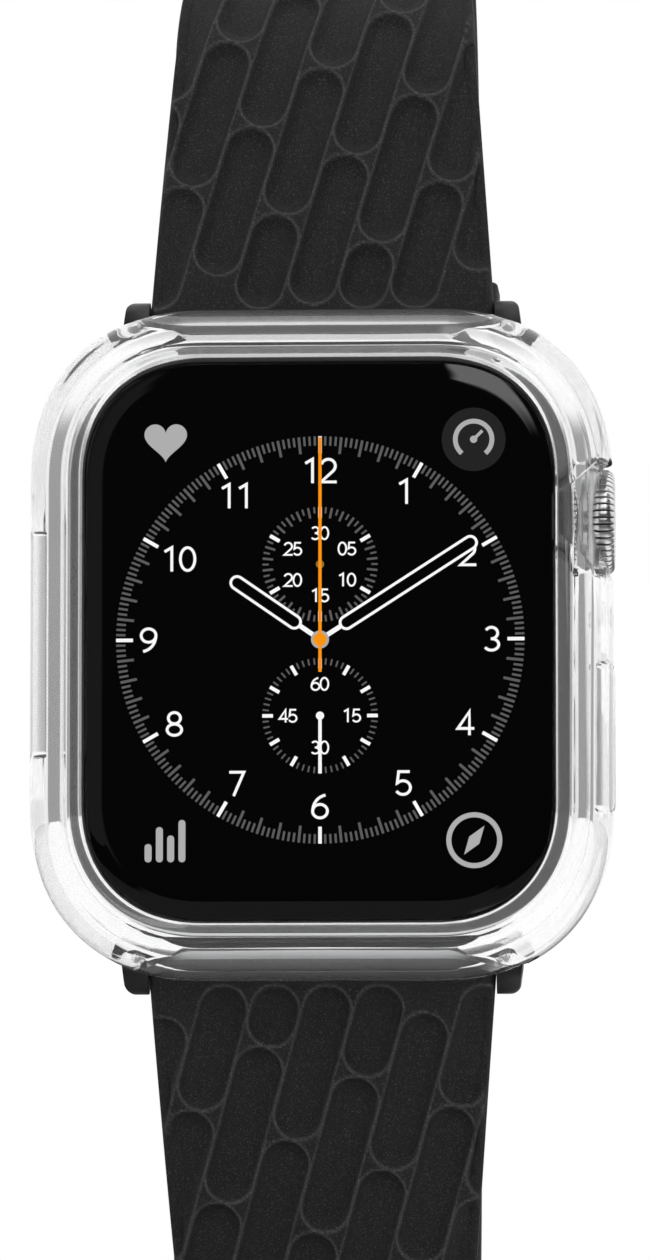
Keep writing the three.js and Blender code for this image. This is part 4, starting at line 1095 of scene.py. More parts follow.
def strap_openings():
    """At each end an opening for the strap, and a slope that fades out towards the corners."""
    shape = rounded(CASE_OPENING_WIDTH, 2 * CASE_OPENING_PLANE, CASE_OPENING_CORNER)
    slope = [(PIN_PLANE, CASE_SLOPE_START), *CASE_SLOPE, (PIN_PLANE, CASE_SLOPE[-1][1])]
    cutters = []
    for end in (1, -1):
        ends = sorted((end * CASE_OPENING_START, end * (HALF_LENGTH + CASE_OPENING_PAST)))
        cutters.append(prism("strap_opening", shape, end_plane, *ends))
        rings = []
        for turn in np.linspace(-QUARTER, QUARTER, CASE_SLOPE_RINGS):
            across = CASE_SLOPE_FLAT * np.sign(turn) + CASE_SLOPE_FADE * math.sin(turn)
            share = math.cos(turn) + CASE_SLOPE_LEAST
            rings.append(np.array([
                side_plane(PIN_PLANE + share * (u - PIN_PLANE), end * v, across) for u, v in slope
            ]))
        cutters.append(loft("slope", rings))
    return cutters


def crown_openings():
    """The opening at the crown, the round scallop in front of it and the ramp down to it."""
    shape = rounded(2 * CASE_CROWN_PLANE, 2 * CASE_CROWN_HALF, CASE_OPENING_CORNER, (0, CROWN_ALONG))
    opening = prism("crown_opening", shape, side_plane, HALF_WIDTH, CASE_OUTSIDE)
    edge = HALF_WIDTH + SCALLOP_REACH
    scallop = loft("scallop", [
        np.array([across_plane(u, v, w) for u, v in circle(radius, (edge + radius, CROWN_ALONG), FINE_ROUND)])
        for radius, w in zip(SCALLOP_RADII, (RIM_PLANE, CASE_FRONT + OVERRUN))
    ])
    inner, outer = CROWN_RAMP
    corners = [
        (x, side * half, plane)
        for (x, half, plane), side in ((inner, 1), (inner, -1), (outer, -1), (outer, 1))
    ]
    ramp = loft("crown_ramp", [
        np.array([(x, -plane, CROWN_ALONG + z) for x, z, plane in corners]),
        np.array([(x, -CASE_FRONT - OVERRUN, CROWN_ALONG + z) for x, z, _ in corners]),
    ])
    return [opening, scallop, ramp]


def side_openings():
    """The openings for the button pad, the speaker and the microphone."""
    pad = PAD_HIGH - PAD_LOW + 2 * RUNNING_GAP
    microphone = circle(CASE_MICROPHONE_RADIUS, (WIDEST_PLANE, MICROPHONE_ALONG), SMALL_ROUND)
    holes = [
        (rounded(pad[1], pad[2], CASE_SIDE_CORNER, PAD_MIDDLE), CASE_INSIDE, CASE_OUTSIDE),
        (rounded(*CASE_SPEAKER, CASE_SIDE_CORNER, (WIDEST_PLANE, 0)), -CASE_OUTSIDE, -CASE_INSIDE),
        (microphone, CASE_INSIDE, CASE_OUTSIDE),
    ]
    return [prism("hole", shape, side_plane, start, end) for shape, start, end in holes]


def clear_case():
    body = case_band()
    carve(body, [*strap_openings(), *crown_openings(), *side_openings()])
    soften(body, CASE_EDGE, 3, 38)
    dress(body, CLEAR, "bumper", ["bumper_shell"], 60)
    pad = PAD_HIGH - PAD_LOW
    shape = rounded(pad[1], pad[2], CASE_SIDE_CORNER, PAD_MIDDLE)
    cap = prism("clear_button_pad", shape, side_plane, PAD_LOW[0], PAD_HIGH[0])
    soften(cap, PAD_EDGE, 5)
    dress(cap, CLEAR, "bumper_pad", ["bumper_button_pad"], 60)


# Adapters: a bar with two ears, rounded about the strap's pin
def adapters():
    half_bar = ADAPTER_HIGH[0]
    half_tip = half_bar - ADAPTER_LEAN
    base, top = ADAPTER_LOW[2], ADAPTER_HIGH[2] + ADAPTER_LIFT
    tip = [
        (half_tip - ADAPTER_CORNER * (1 - math.sin(a)), top - ADAPTER_CORNER * (1 - math.cos(a)))
        for a in np.linspace(QUARTER, 0, 7)
    ]
    right = [
        (half_bar, base), (half_bar, top - ADAPTER_TIP_RISE), *tip,
        (ADAPTER_INNER, top), (ADAPTER_INNER, base + ADAPTER_BAR),
    ]
    plan = right + [(-x, z) for x, z in right[::-1]]
    radius = (ADAPTER_HIGH[1] - ADAPTER_LOW[1]) / 2
    rise = top - radius
    side = [
        (PIN_PLANE + radius * math.cos(a), rise + radius * math.sin(a))
        for a in np.linspace(0, 2 * QUARTER, 25)
    ]
    soft = radius / 2
    for middle, start in ((PIN_PLANE - radius + soft, 2), (PIN_PLANE + radius - soft, 3)):
        side += [
            (middle + soft * math.cos(a), base + soft + soft * math.sin(a))
            for a in np.linspace(start * QUARTER, (start + 1) * QUARTER, 6)
        ]
    for end, name in ((1, "upper"), (-1, "lower")):
        plate = [(end * x, end * z) for x, z in plan]
        body = prism(f"adapter_{name}_ears", plate, across_plane, *CHANNEL_PLANES)
        limit = prism("limit", [(d, end * z) for d, z in side], side_plane, -HALF_WIDTH, HALF_WIDTH)
        carve(body, [limit], "INTERSECT")
        bore = circle(ADAPTER_BORE, (PIN_PLANE, end * PIN_ALONG), SMALL_ROUND)
        carve(body, [prism("bore", bore, side_plane, -HALF_WIDTH, HALF_WIDTH)])
        soften(body, ADAPTER_EDGE, 3, 40)
        dress(body, SATIN, "watch", [f"adapter_{name}"], 50)


# Strap
def strap_place(length):
    """The middle line's heading from +Z towards +Y, and its place, at a length from the pin."""
    heading, bent, _ = STRAP_HEADINGS
    runs = [(STRAP_START, (bent - heading) / STRAP_START), (STRAP_ARC, 1 / STRAP_ARC_RADIUS), (math.inf, 0)]
    y, z = -PIN_PLANE, PIN_ALONG
    left = length
    for reach, bend in runs:
        part = min(left, reach)
        if left < 0 or bend == 0:
            y += part * math.sin(heading)
            z += part * math.cos(heading)
            break
        after = heading + part * bend
        y += (math.cos(heading) - math.cos(after)) / bend
        z += (math.sin(after) - math.sin(heading)) / bend
        heading = after
        left -= part
        if left <= 0:
            break
    return heading, y, z


def smoothstep(value, low, high):
    share = min(1, max(0, (value - low) / (high - low)))
    return share * share * (3 - 2 * share)


def strap_half_width(length):
    first = min(1, max(0, length / STRAP_TAPERS[0]))
    second = smoothstep(length, *STRAP_TAPERS)
    wide, middle, narrow = STRAP_WIDTHS
    return (wide + first * (middle - wide) + second * (narrow - middle)) / 2


def strap_half_thickness(length):
    thick, thin = STRAP_THICKNESSES
    return (thick + smoothstep(length, 0, STRAP_TAPERS[0]) * (thin - thick)) / 2


def strap_section(length, half, thick, turn):
    """A ring of the strap, with the place across it and along it and a mark on its outer face."""
    heading, y, z = strap_place(length)
    radius = min(STRAP_EDGE, thick * STRAP_EDGE_SHARE)
    flat = half - radius
    bend = np.linspace(0, QUARTER, 7)
    outer = np.linspace(flat, -flat, STRAP_ACROSS_STEPS + 1)
    low = radius * np.sin(bend)
    side = radius * np.cos(bend)
    across = np.concatenate([
        outer, -flat - low[1:], -flat - side[1:], [0.0], flat + low[1:-1], flat + side[:-1],
    ])
    out = np.concatenate([
        np.full(len(outer), thick), thick - radius + side[1:], radius - thick - low[1:], [-thick],
        radius - thick - side[1:-1], thick - radius + low[:-1],
    ])
    points = np.column_stack([
        turn * across,
        y - out * math.cos(heading),
        turn * (z + out * math.sin(heading)),
    ])
    facing = np.where(out > thick - radius, 1.0, 0.0)
    return points, across, np.full(len(across), length), facing


def strap_stations(end, fine_end):
    """Lengths of the rings between the pin and the far end's own shape."""
    fine = np.arange(STRAP_FINE_STEP, fine_end, STRAP_FINE_STEP)
    coarse = np.arange(fine_end, end, STRAP_COARSE_STEP)
    return [*fine, *coarse]


def knuckle(length, ahead, turn):
    """The round end about a pin."""
    radius = strap_half_thickness(length)
    half = strap_half_width(length)
    rings = [
        strap_section(length + ahead * radius * math.cos(a), half, radius * math.sin(a), turn)
        for a in QUARTER * np.linspace(KNUCKLE_START_SHARE, 1, 8)
    ]
    return rings[::-1] if ahead > 0 else rings


def strap_body(name, rings):
    body = loft(name, [ring[0] for ring in rings])
    for label, column in (("across", 1), ("along", 2), ("outer", 3)):
        values = np.concatenate([ring[column] for ring in rings])
        body.data.attributes.new(label, "FLOAT", "POINT").data.foreach_set("value", values.astype(np.float32))
    return body


def dimple_tree(material):
    """Presses slanting columns of long hollows into the outer face, and marks their rims for the rubber's
    painted highlight.
    """
    nodes, size = open_tree("strap_dimples", (
        "Slant", "Pitch", "Period", "Shift", "Radius", "Ridge", "Depth", "Flat share", "First", "Last",
        "Start across", "Start along", "Half width", "Taper",
    ))
    across, along, outer = [
        nodes.add("GeometryNodeInputNamedAttribute", {"data_type": "FLOAT"}, {"Name": name})
        for name in ("across", "along", "outer")
    ]
    lean = size["Slant"].maths("SINE")
    rise = size["Slant"].maths("COSINE")
    from_across = across - size["Start across"]
    from_along = along - size["Start along"]
    u = from_across * rise - from_along * lean
    v = from_across * lean + from_along * rise
    column = (u / size["Pitch"] + 0.5).floor()
    aside = u - column * size["Pitch"]
    onwards = v - column * size["Shift"]
    cell = (onwards / size["Period"]).floor()
    middle = column * size["Shift"] + (cell + 0.5) * size["Period"]
    reach = size["Period"] / 2 - size["Radius"] - size["Ridge"] / 2
    axis = column * size["Pitch"] * lean - size["Start along"]
    first = (size["First"] + size["Radius"] + axis) / rise - middle
    last = (size["Last"] - size["Radius"] + axis) / rise - middle
    low = first.high(reach * -1)
    high = last.low(reach)
    spot = v - middle
    off = spot - spot.low(high).high(low)
    distance = (aside * aside + off * off).maths("SQRT") / size["Radius"]
    slope = ((distance - size["Flat share"]) / (1 - size["Flat share"])).high(0).low(1)
    bowl = 1 - slope * slope
    real = 1 - high.below(low - DIMPLE_LEAST)
    from_edge = size["Half width"] - along * size["Taper"] - across.maths("ABSOLUTE")
    inside = from_edge.step(0.0, DIMPLE_SIDE_FADE)
    pressed = bowl * real * inside * outer
    normal = nodes.add("GeometryNodeInputNormal")
    scale = pressed * size["Depth"] * -MM
    push = nodes.add("ShaderNodeVectorMath", {"operation": "SCALE"}, {"Vector": normal, "Scale": scale})
    # The ridge mark, a thin band at the rim of each hollow, is where the rubber's colour paints a highlight
    rim = 1 - (distance - 1).maths("ABSOLUTE").step(*DIMPLE_RIDGE_SHARES)
    marked = nodes.keep(size["Geometry"], "ridge", real * inside * outer * rim)
    moved = nodes.add("GeometryNodeSetPosition", None, {"Geometry": marked, "Offset": push})
    return close_tree(nodes, moved, material)


def press_dimples(body, tree, side):
    run_tree(body, tree, {
        "Slant": DIMPLE_SLANT,
        "Pitch": DIMPLE_PITCH,
        "Period": DIMPLE_PERIOD,
        "Shift": DIMPLE_SHIFT,
        "Radius": DIMPLE_WIDTH / 2,
        "Ridge": DIMPLE_RIDGE,
        "Depth": DIMPLE_DEPTH,
        "Flat share": DIMPLE_FLAT_SHARE,
        "First": DIMPLE_BORDER,
        "Last": DIMPLE_ENDS[side],
        "Start across": DIMPLE_STARTS[side][0],
        "Start along": DIMPLE_STARTS[side][1],
        "Half width": STRAP_WIDTHS[0] / 2,
        "Taper": (STRAP_WIDTHS[0] - STRAP_WIDTHS[1]) / 2 / STRAP_TAPERS[0],
    })


def strap_cutter(length, width, long, turn):
    """A stadium-shaped cutter through the strap, long along it."""
    heading, y, z = strap_place(length)
    return loft("hole", [
        np.array([
            (
                turn * u,
                y - out * math.cos(heading) + v * math.sin(heading),
                turn * (z + out * math.sin(heading) + v * math.cos(heading)),
            )
            for u, v in stadium(width, long, steps=6)
        ])
        for out in (-STRAP_CUT_REACH, STRAP_CUT_REACH)
    ])


def strap_run(side, end, turn):
    """The rings from the pin to near the far end."""
    rings = knuckle(0, -1, turn)
    for length in strap_stations(end - STRAP_END_STEP, DIMPLE_ENDS[side] + DIMPLE_PAST):
        rings.append(strap_section(length, strap_half_width(length), strap_half_thickness(length), turn))
    return rings


def straps():
    tree = dimple_tree(RUBBER)
    upper = strap_body("strap_upper_half", strap_run("upper", UPPER_LENGTH, 1) + knuckle(UPPER_LENGTH, 1, 1))
    press_dimples(upper, tree, "upper")
    carve(upper, [strap_cutter(UPPER_LENGTH, *TONGUE_SLOT_SIZE, 1)])
    dress(upper, RUBBER, "strap_upper", ["strap_upper"], 50)
    tip = LOWER_LENGTH - TAIL_ROUNDING
    rings = strap_run("lower", tip, -1)
    thick = strap_half_thickness(LOWER_LENGTH)
    half = strap_half_width(LOWER_LENGTH)
    for angle in np.linspace(0, QUARTER, 15):
        narrowed = max(TAIL_TIP_SHARE, math.cos(angle))
        rings.append(strap_section(tip + math.sin(angle) * TAIL_ROUNDING, half * narrowed, thick, -1))
    lower = strap_body("strap_lower_half", rings)
    press_dimples(lower, tree, "lower")
    carve(lower, [
        strap_cutter(LOWER_LENGTH - TAIL_HOLE_START - hole * TAIL_HOLE_PITCH, *TAIL_HOLE_SIZE, -1)
        for hole in range(TAIL_HOLES)
    ])
    dress(lower, RUBBER, "strap_lower", ["strap_lower"], 50)


# Buckle and keepers, drawn about the pin at the end of the upper strap
def buckle_point(u, v, w):
    """A shape drawn across and along the strap, pushed outwards from the wrist, from the buckle's pin."""
    return (u, BUCKLE_PLACE[0] + w, BUCKLE_PLACE[1] + v)


def buckle_side(u, v, w):
    """A shape drawn outwards and along the strap, pushed across it, from the buckle's pin."""
    return (w, BUCKLE_PLACE[0] + u, BUCKLE_PLACE[1] + v)


def buckle():
    outer = FRAME_HIGH[0]
    inner = outer - FRAME_BAR
    round_in = FRAME_CORNER - FRAME_BAR / 2
    turn = np.linspace(0, QUARTER, 9)
    inside = [
        (inner - round_in * (1 - math.cos(a)), -FRAME_LENGTH + FRAME_BAR + round_in * (1 - math.sin(a)))
        for a in turn
    ]
    outside = [
        (outer - FRAME_CORNER * (1 - math.cos(a)), -FRAME_LENGTH + FRAME_CORNER * (1 - math.sin(a)))
        for a in turn[::-1]
    ]
    right = [(inner, FRAME_REACH), *inside]
    left = [(-x, z) for x, z in right[::-1]]
    far_left = [(-outer, FRAME_REACH), *[(-x, z) for x, z in outside[::-1]]]
    far_right = [*outside, (outer, FRAME_REACH)]
    plan = [*right, *left, *far_left, *far_right]
    body = prism("buckle_loop", plan, buckle_point, -FRAME_HALF_THICKNESS, FRAME_HALF_THICKNESS)
    soften(body, FRAME_EDGE, 4, 40)
    dress(body, BRUSHED, "buckle_frame", ["buckle_frame"], 50)
    pin = circle(BUCKLE_PIN_RADIUS, steps=40)
    rod = prism("buckle_axle", pin, buckle_side, BUCKLE_PIN_LOW[0], BUCKLE_PIN_HIGH[0])
    dress(rod, POLISHED, "strap_upper", ["buckle_pin"])
    top = TONGUE_REST + TONGUE_THICKNESS
    bend = [
        (top - TONGUE_THICKNESS / 2 * (1 - math.cos(a)), TONGUE_TIP + TONGUE_THICKNESS * (1 - math.sin(a)))
        for a in turn
    ]
    around = [
        (TONGUE_EYE_RADIUS * math.cos(a), TONGUE_EYE_RADIUS * math.sin(a))
        for a in np.linspace(0, 3 * QUARTER, 20)
    ]
    side = [*around, (TONGUE_REST, TONGUE_BEND), (TONGUE_REST, TONGUE_TIP), *bend[::-1], (top, TONGUE_BEND)]
    tongue = prism("buckle_prong", side, buckle_side, -TONGUE_HALF_WIDTH, TONGUE_HALF_WIDTH)
    bore = circle(TONGUE_BORE_RADIUS, steps=SMALL_ROUND)
    past = TONGUE_HALF_WIDTH + OVERRUN
    carve(tongue, [prism("hole", bore, buckle_side, -past, past)])
    soften(tongue, TONGUE_EDGE, 3, 40)
    dress(tongue, BRUSHED, "buckle_tongue", ["buckle_tongue"], 50)


def keepers():
    for node, body, name in (
        ("keeper_fixed", "strap_upper", "fixed_loop"),
        ("keeper_sliding", "keeper_sliding", "sliding_loop"),
    ):
        low, high = box_mm(node)
        width, height = high[0] - low[0], high[1] - low[1]
        middle = (0, -(low[1] + high[1]) / 2)
        outer = rounded(width, height, KEEPER_CORNERS[0], middle)
        inner = rounded(width - 2 * KEEPER_WALL, height - 2 * KEEPER_WALL, KEEPER_CORNERS[1], middle)
        bands = [(outer, low[2]), (outer, high[2]), (inner, high[2]), (inner, low[2])]
        rings = [np.array([end_plane(u, v, w) for u, v in shape]) for shape, w in bands]
        loop = loft(name, rings, loop=True)
        soften(loop, KEEPER_EDGE, 4, 50)
        dress(loop, RUBBER, body, [node], 50)


# Dial
def dial_point(u, v, w):
    return (DIAL_ACROSS + u, -GLASS_FRONT - w * DIAL_LAYER, v)


def mark_solid(name, shape, layer):
    """A flat mark one layer thick, over the glass."""
    rings = [np.array([dial_point(u, v, w) for u, v in shape]) for w in (layer - 0.5, layer + 0.5)]
    return loft(name, rings)


def stroke(name, line, width, layer, closed=False):
    """A mark of one width along a line, with mitred bends."""
    line = np.asarray(line, float)
    count = len(line)
    sides = []
    for i, point in enumerate(line):
        before = line[i - 1] if i or closed else point
        after = line[(i + 1) % count] if i + 1 < count or closed else point
        first = point - before
        second = after - point
        first = first / (np.linalg.norm(first) or 1)
        second = second / (np.linalg.norm(second) or 1)
        along = first + second
        along = along / np.linalg.norm(along)
        normal = np.array([-along[1], along[0]])
        sharpness = max(LEAST_SHARPNESS, abs(np.dot(along, second if np.linalg.norm(second) else first)))
        sides.append((point + normal * width / 2 / sharpness, point - normal * width / 2 / sharpness))
    rings = [
        np.array([
            dial_point(*left, layer + 0.5), dial_point(*right, layer + 0.5),
            dial_point(*right, layer - 0.5), dial_point(*left, layer - 0.5),
        ])
        for left, right in sides
    ]
    return loft(name, rings, loop=closed)


def arc(middle, radii, start, end, steps=20):
    """Points on an oval, between two angles in degrees."""
    angles = np.radians(np.linspace(start, end, steps + 1))
    return [(middle[0] + radii[0] * math.cos(a), middle[1] + radii[1] * math.sin(a)) for a in angles]


def numeral_lines(digit):
    """The strokes of a digit one unit high, each with whether it closes on itself."""
    oval = arc((0.31, 0.5), (0.27, 0.46), 0, 351, 40)
    return {
        "0": [(oval, True)],
        "1": [([(0.09, 0.8), (0.36, 0.965), (0.36, 0.0)], False)],
        "2": [([
            *arc((0.31, 0.69), (0.26, 0.27), 165, -25), (0.5, 0.5), (0.04, 0.045), (0.62, 0.045),
        ], False)],
        "3": [
            ([*arc((0.3, 0.73), (0.23, 0.23), 150, -80, 18)], False),
            ([*arc((0.3, 0.27), (0.27, 0.23), 95, -150, 20)], False),
        ],
        "4": [([(0.46, 0.0), (0.46, 0.95), (0.03, 0.27), (0.64, 0.27)], False)],
        "5": [([
            (0.56, 0.955), (0.15, 0.955), (0.1, 0.5), *arc((0.31, 0.315), (0.275, 0.275), 135, -150, 22),
        ], False)],
        "6": [
            (arc((0.32, 0.31), (0.275, 0.27), 0, 350, 36), True),
            (arc((0.62, 0.32), (0.57, 0.64), 182, 100, 12), False),
        ],
        "7": [([(0.04, 0.955), (0.58, 0.955), (0.2, 0.0)], False)],
        "8": [
            (arc((0.31, 0.73), (0.225, 0.225), 0, 350, 32), True),
            (arc((0.31, 0.265), (0.27, 0.225), 0, 350, 34), True),
        ],
        "9": [
            (arc((0.3, 0.69), (0.275, 0.27), 0, 350, 36), True),
            (arc((0.0, 0.68), (0.57, 0.64), 2, -80, 12), False),
        ],
    }[digit]


def numeral(text, middle, height, width, layer):
    """A number about a middle, as strokes."""
    marks = []
    advance = NUMERAL_PITCH_SHARE * height
    start = middle[0] - advance * len(text) / 2
    for place, digit in enumerate(text):
        for line, closed in numeral_lines(digit):
            points = [
                (start + advance * place + height * NUMERAL_WIDTH_SHARE * x, middle[1] + height * (y - 0.5))
                for x, y in line
            ]
            marks.append(stroke("stroke", points, width, layer, closed))
    return marks


def numbers_round(texts, middle, radii, height, width):
    """Numbers round a circle, the last of them at its top."""
    marks = []
    for number, (text, radius) in enumerate(zip(texts, radii), 1):
        angle = number / len(texts) * TURN
        place = (middle[0] + radius * math.sin(angle), middle[1] + radius * math.cos(angle))
        marks += numeral(text, place, height, width, MARK_LAYER)
    return marks


def join(name, marks):
    """Several marks as one piece."""
    shape = bmesh.new()
    for mark in marks:
        shape.from_mesh(mark.data)
        bpy.data.objects.remove(mark)
    mesh = bpy.data.meshes.new(name)
    shape.to_mesh(mesh)
    shape.free()
    made = bpy.data.objects.new(name, mesh)
    bpy.context.scene.collection.objects.link(made)
    return made


def ring_tree():
    """Bars set round a circle, each standing on it and pointing to its middle."""
    nodes, size = open_tree(
        "dial_bars",
        ("Across", "Along", "Height", "Radius", "Length", "Width", "Thickness", "Skip"),
        (("Count", "Int"), ("Material", "Material")),
    )
    count = size["Count"]
    points = nodes.add("GeometryNodeMeshLine", {"mode": "OFFSET"}, {"Count": count})
    index = nodes.add("GeometryNodeInputIndex")
    angle = index / count * TURN
    middle = size["Radius"] - size["Length"] / 2
    place = nodes.add("ShaderNodeCombineXYZ", None, {
        0: size["Across"] + angle.maths("SINE") * middle,
        1: size["Height"] * -1,
        2: size["Along"] + angle.maths("COSINE") * middle,
    })
    spread = nodes.add("GeometryNodeSetPosition", None, {"Geometry": points, "Position": place})
    bar_size = nodes.add("ShaderNodeCombineXYZ", None, {
        0: size["Width"], 1: size["Thickness"], 2: size["Length"],
    })
    bar = nodes.add("GeometryNodeMeshCube", None, {"Size": bar_size})
    turn = nodes.add("ShaderNodeCombineXYZ", None, {1: angle})
    left_over = index - (index / size["Skip"] + 0.0001).floor() * size["Skip"]
    kept = nodes.maths("GREATER_THAN", left_over, 0.5)
    placed = nodes.add("GeometryNodeInstanceOnPoints", None, {
        "Points": spread, "Instance": bar, "Selection": kept, "Rotation": turn,
    })
    return close_tree(nodes, placed, size["Material"])


RING_TREE = ring_tree()


def bars(middle, radius, count, skip, length, width):
    """Grey bars round a circle on the dial, with every so many left out."""
    carrier = make("bars", [(0, 0, 0)], [])
    return run_tree(carrier, RING_TREE, {
        "Across": (DIAL_ACROSS + middle[0]) * MM,
        "Along": middle[1] * MM,
        "Height": (GLASS_FRONT + BAR_LAYER * DIAL_LAYER) * MM,
        "Radius": radius * MM,
        "Length": length * MM,
        "Width": width * MM,
        "Thickness": DIAL_LAYER * MM,
        "Skip": float(skip),
        "Count": count,
        "Material": GREY_LIGHT,
    })


def show_mark(piece, material):
    return dress(piece, material, "watch")


def dial():
    show_mark(join("dial_fine_bars", [bars(*sizes) for sizes in FINE_BARS]), GREY_LIGHT)
    show_mark(join("dial_hour_bars", [hour_bars(*sizes) for sizes in HOUR_BARS]), WHITE_LIGHT)
    hours = [str(hour) for hour in range(1, 13)]
    numbers = numbers_round(hours, DIAL_MIDDLE, HOUR_RADII, *HOUR_NUMERAL)
    for texts, middle, radius in (
        (UPPER_TEXTS, UPPER_SUBDIAL, UPPER_TEXT_RADIUS),
        (LOWER_TEXTS, LOWER_SUBDIAL, LOWER_TEXT_RADIUS),
    ):
        numbers += numbers_round(texts, middle, [radius] * len(texts), *SUBDIAL_NUMERAL)
    show_mark(join("dial_numbers", numbers), WHITE_LIGHT)
    hands()
    corner_marks()


def hour_bars(middle, radius, count, length, width):
    """White bars round a circle, none left out."""
    marks = []
    for number in range(count):
        angle = number / count * TURN
        direction = np.array([math.sin(angle), math.cos(angle)])
        line = [np.array(middle) + direction * r for r in (radius - length, radius)]
        marks.append(stroke("bar", line, width, HOUR_BAR_LAYER))
    return join("hour_bars", marks)


def baton(angle, near, far, radius):
    """A stadium along a direction from the middle."""
    shape = []
    for start, reach in ((0, far), (2 * QUARTER, near)):
        for turn in start - angle + np.linspace(0, 2 * QUARTER, BATON_STEPS + 1):
            shape.append((
                reach * math.sin(angle) + radius * math.cos(turn),
                reach * math.cos(angle) + radius * math.sin(turn),
            ))
    return shape


def hands():
    """Two open batons on stems, the small second hand, and the long sweep hand with its hub."""
    white = []
    black = []
    for degrees, near, far in BATONS:
        angle = math.radians(degrees)
        shape = baton(angle, near, far, BATON_RADIUS)
        black.append(mark_solid("fill", shape, FILL_LAYER))
        white.append(stroke("baton", shape, BATON_LINE, HAND_LAYER, True))
        direction = np.array([math.sin(angle), math.cos(angle)])
        ends = [direction * STEM_NEAR, direction * (near - STEM_INTO_BATON)]
        white.append(stroke("stem", ends, STEM_WIDTH, HAND_LAYER))
    start = np.array(LOWER_SUBDIAL)
    ends = [start, start + np.array([0.0, -1.0]) * SECOND_HAND_LENGTH]
    white.append(stroke("second_hand", ends, SECOND_HAND_WIDTH, HAND_LAYER))
    white.append(mark_solid("second_hub", circle(SMALL_HUB, LOWER_SUBDIAL), SECOND_HUB_LAYER))
    show_mark(join("dial_hand_fill", black), NO_LIGHT)
    show_mark(join("dial_hands", white), WHITE_LIGHT)
    show_mark(mark_solid("dial_hand_hub", circle(HAND_HUB), HUB_LAYER), SOFT_LIGHT)
    amber = mark_solid("dial_amber_hub", circle(SMALL_HUB, UPPER_SUBDIAL), AMBER_LAYER)
    show_mark(amber, AMBER_LIGHT)
    orange = [
        stroke("sweep", [(0, end) for end in SWEEP_REACH], SWEEP_WIDTH, SWEEP_LAYER),
        mark_solid("sweep_hub", circle(SWEEP_HUB), SWEEP_HUB_LAYER),
    ]
    show_mark(join("dial_sweep_hand", orange), ORANGE_LIGHT)


def corner_place(name):
    x, y = CORNER_PLACES[name]
    return np.array([(x - DIAL_PIXEL[0]) / PIXELS_PER_MM, (DIAL_PIXEL[1] - y) / PIXELS_PER_MM])


def corner_marks():
    """A heart, a gauge, a bar chart and a compass in the corners of the dial."""
    middle = corner_place("upper_left")
    heart = [
        middle + HEART_SCALE * np.array([
            16 * math.sin(t) ** 3,
            13 * math.cos(t) - 5 * math.cos(2 * t) - 2 * math.cos(3 * t) - math.cos(4 * t),
        ])
        for t in np.linspace(0, TURN, 61)[:-1]
    ]
    soft = [mark_solid("heart", heart, MARK_LAYER)]
    middle = corner_place("upper_right")
    show_mark(mark_solid("dial_corner_disc", circle(CORNER_DISC, middle), BAR_LAYER), DIM_LIGHT)
    gauge = arc(middle, (GAUGE_RADIUS, GAUGE_RADIUS), *GAUGE_ENDS, 40)
    soft.append(stroke("gauge", gauge, GAUGE_WIDTH, GAUGE_LAYER))
    soft.append(stroke("needle", [middle, middle + np.array(NEEDLE_TIP)], NEEDLE_WIDTH, GAUGE_LAYER))
    soft.append(mark_solid("needle_hub", circle(NEEDLE_HUB, middle, 24), GAUGE_HUB_LAYER))
    middle = corner_place("lower_left")
    for place, height in CHART_BARS:
        foot = (middle[0] + place, middle[1] - CHART_DROP + height / 2)
        bar = rounded(CHART_BAR_WIDTH, height, CHART_BAR_CORNER, foot, 6)
        soft.append(mark_solid("bar", bar, MARK_LAYER))
    middle = corner_place("lower_right")
    soft.append(stroke("compass", circle(COMPASS_RADIUS, middle, 60), COMPASS_WIDTH, MARK_LAYER, True))
    point, side = np.array(COMPASS_POINT), np.array(COMPASS_SIDE)
    needle = [middle + point, middle + side, middle - point, middle - side]
    soft.append(mark_solid("compass_needle", needle, MARK_LAYER))
    show_mark(join("dial_corner_marks", soft), SOFT_LIGHT)


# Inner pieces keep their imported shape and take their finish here
INNER_FINISHES = {
    "glass_gasket": SEAL,
    "display_panel": GLASS,
    "display_plate": BRUSHED,
    "back_gasket": SEAL,
    "sensor_board": BOARD,
    "charging_coil": COPPER,
    "battery": FOIL,
    "logic_board": BOARD,
    "processor_package": CHIP,
    "haptic_motor": BRUSHED,
    "speaker_module": CHIP,
    "speaker_mesh": WEAVE,
    "microphone": BRUSHED,
    "crown_shaft": POLISHED,
    "crown_encoder": CHIP,
    "crown_bush": COPPER,
    "crown_plunger": POLISHED,
    "crown_switch": CHIP,
    "side_button_switch": CHIP,
    "adapter_latch_upper": BRUSHED,
    "adapter_latch_lower": BRUSHED,
    "strap_pin_upper": POLISHED,
    "strap_pin_lower": POLISHED,
}


def paint_inner():
    for name, material in INNER_FINISHES.items():
        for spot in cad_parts[name].material_slots:
            spot.material = material


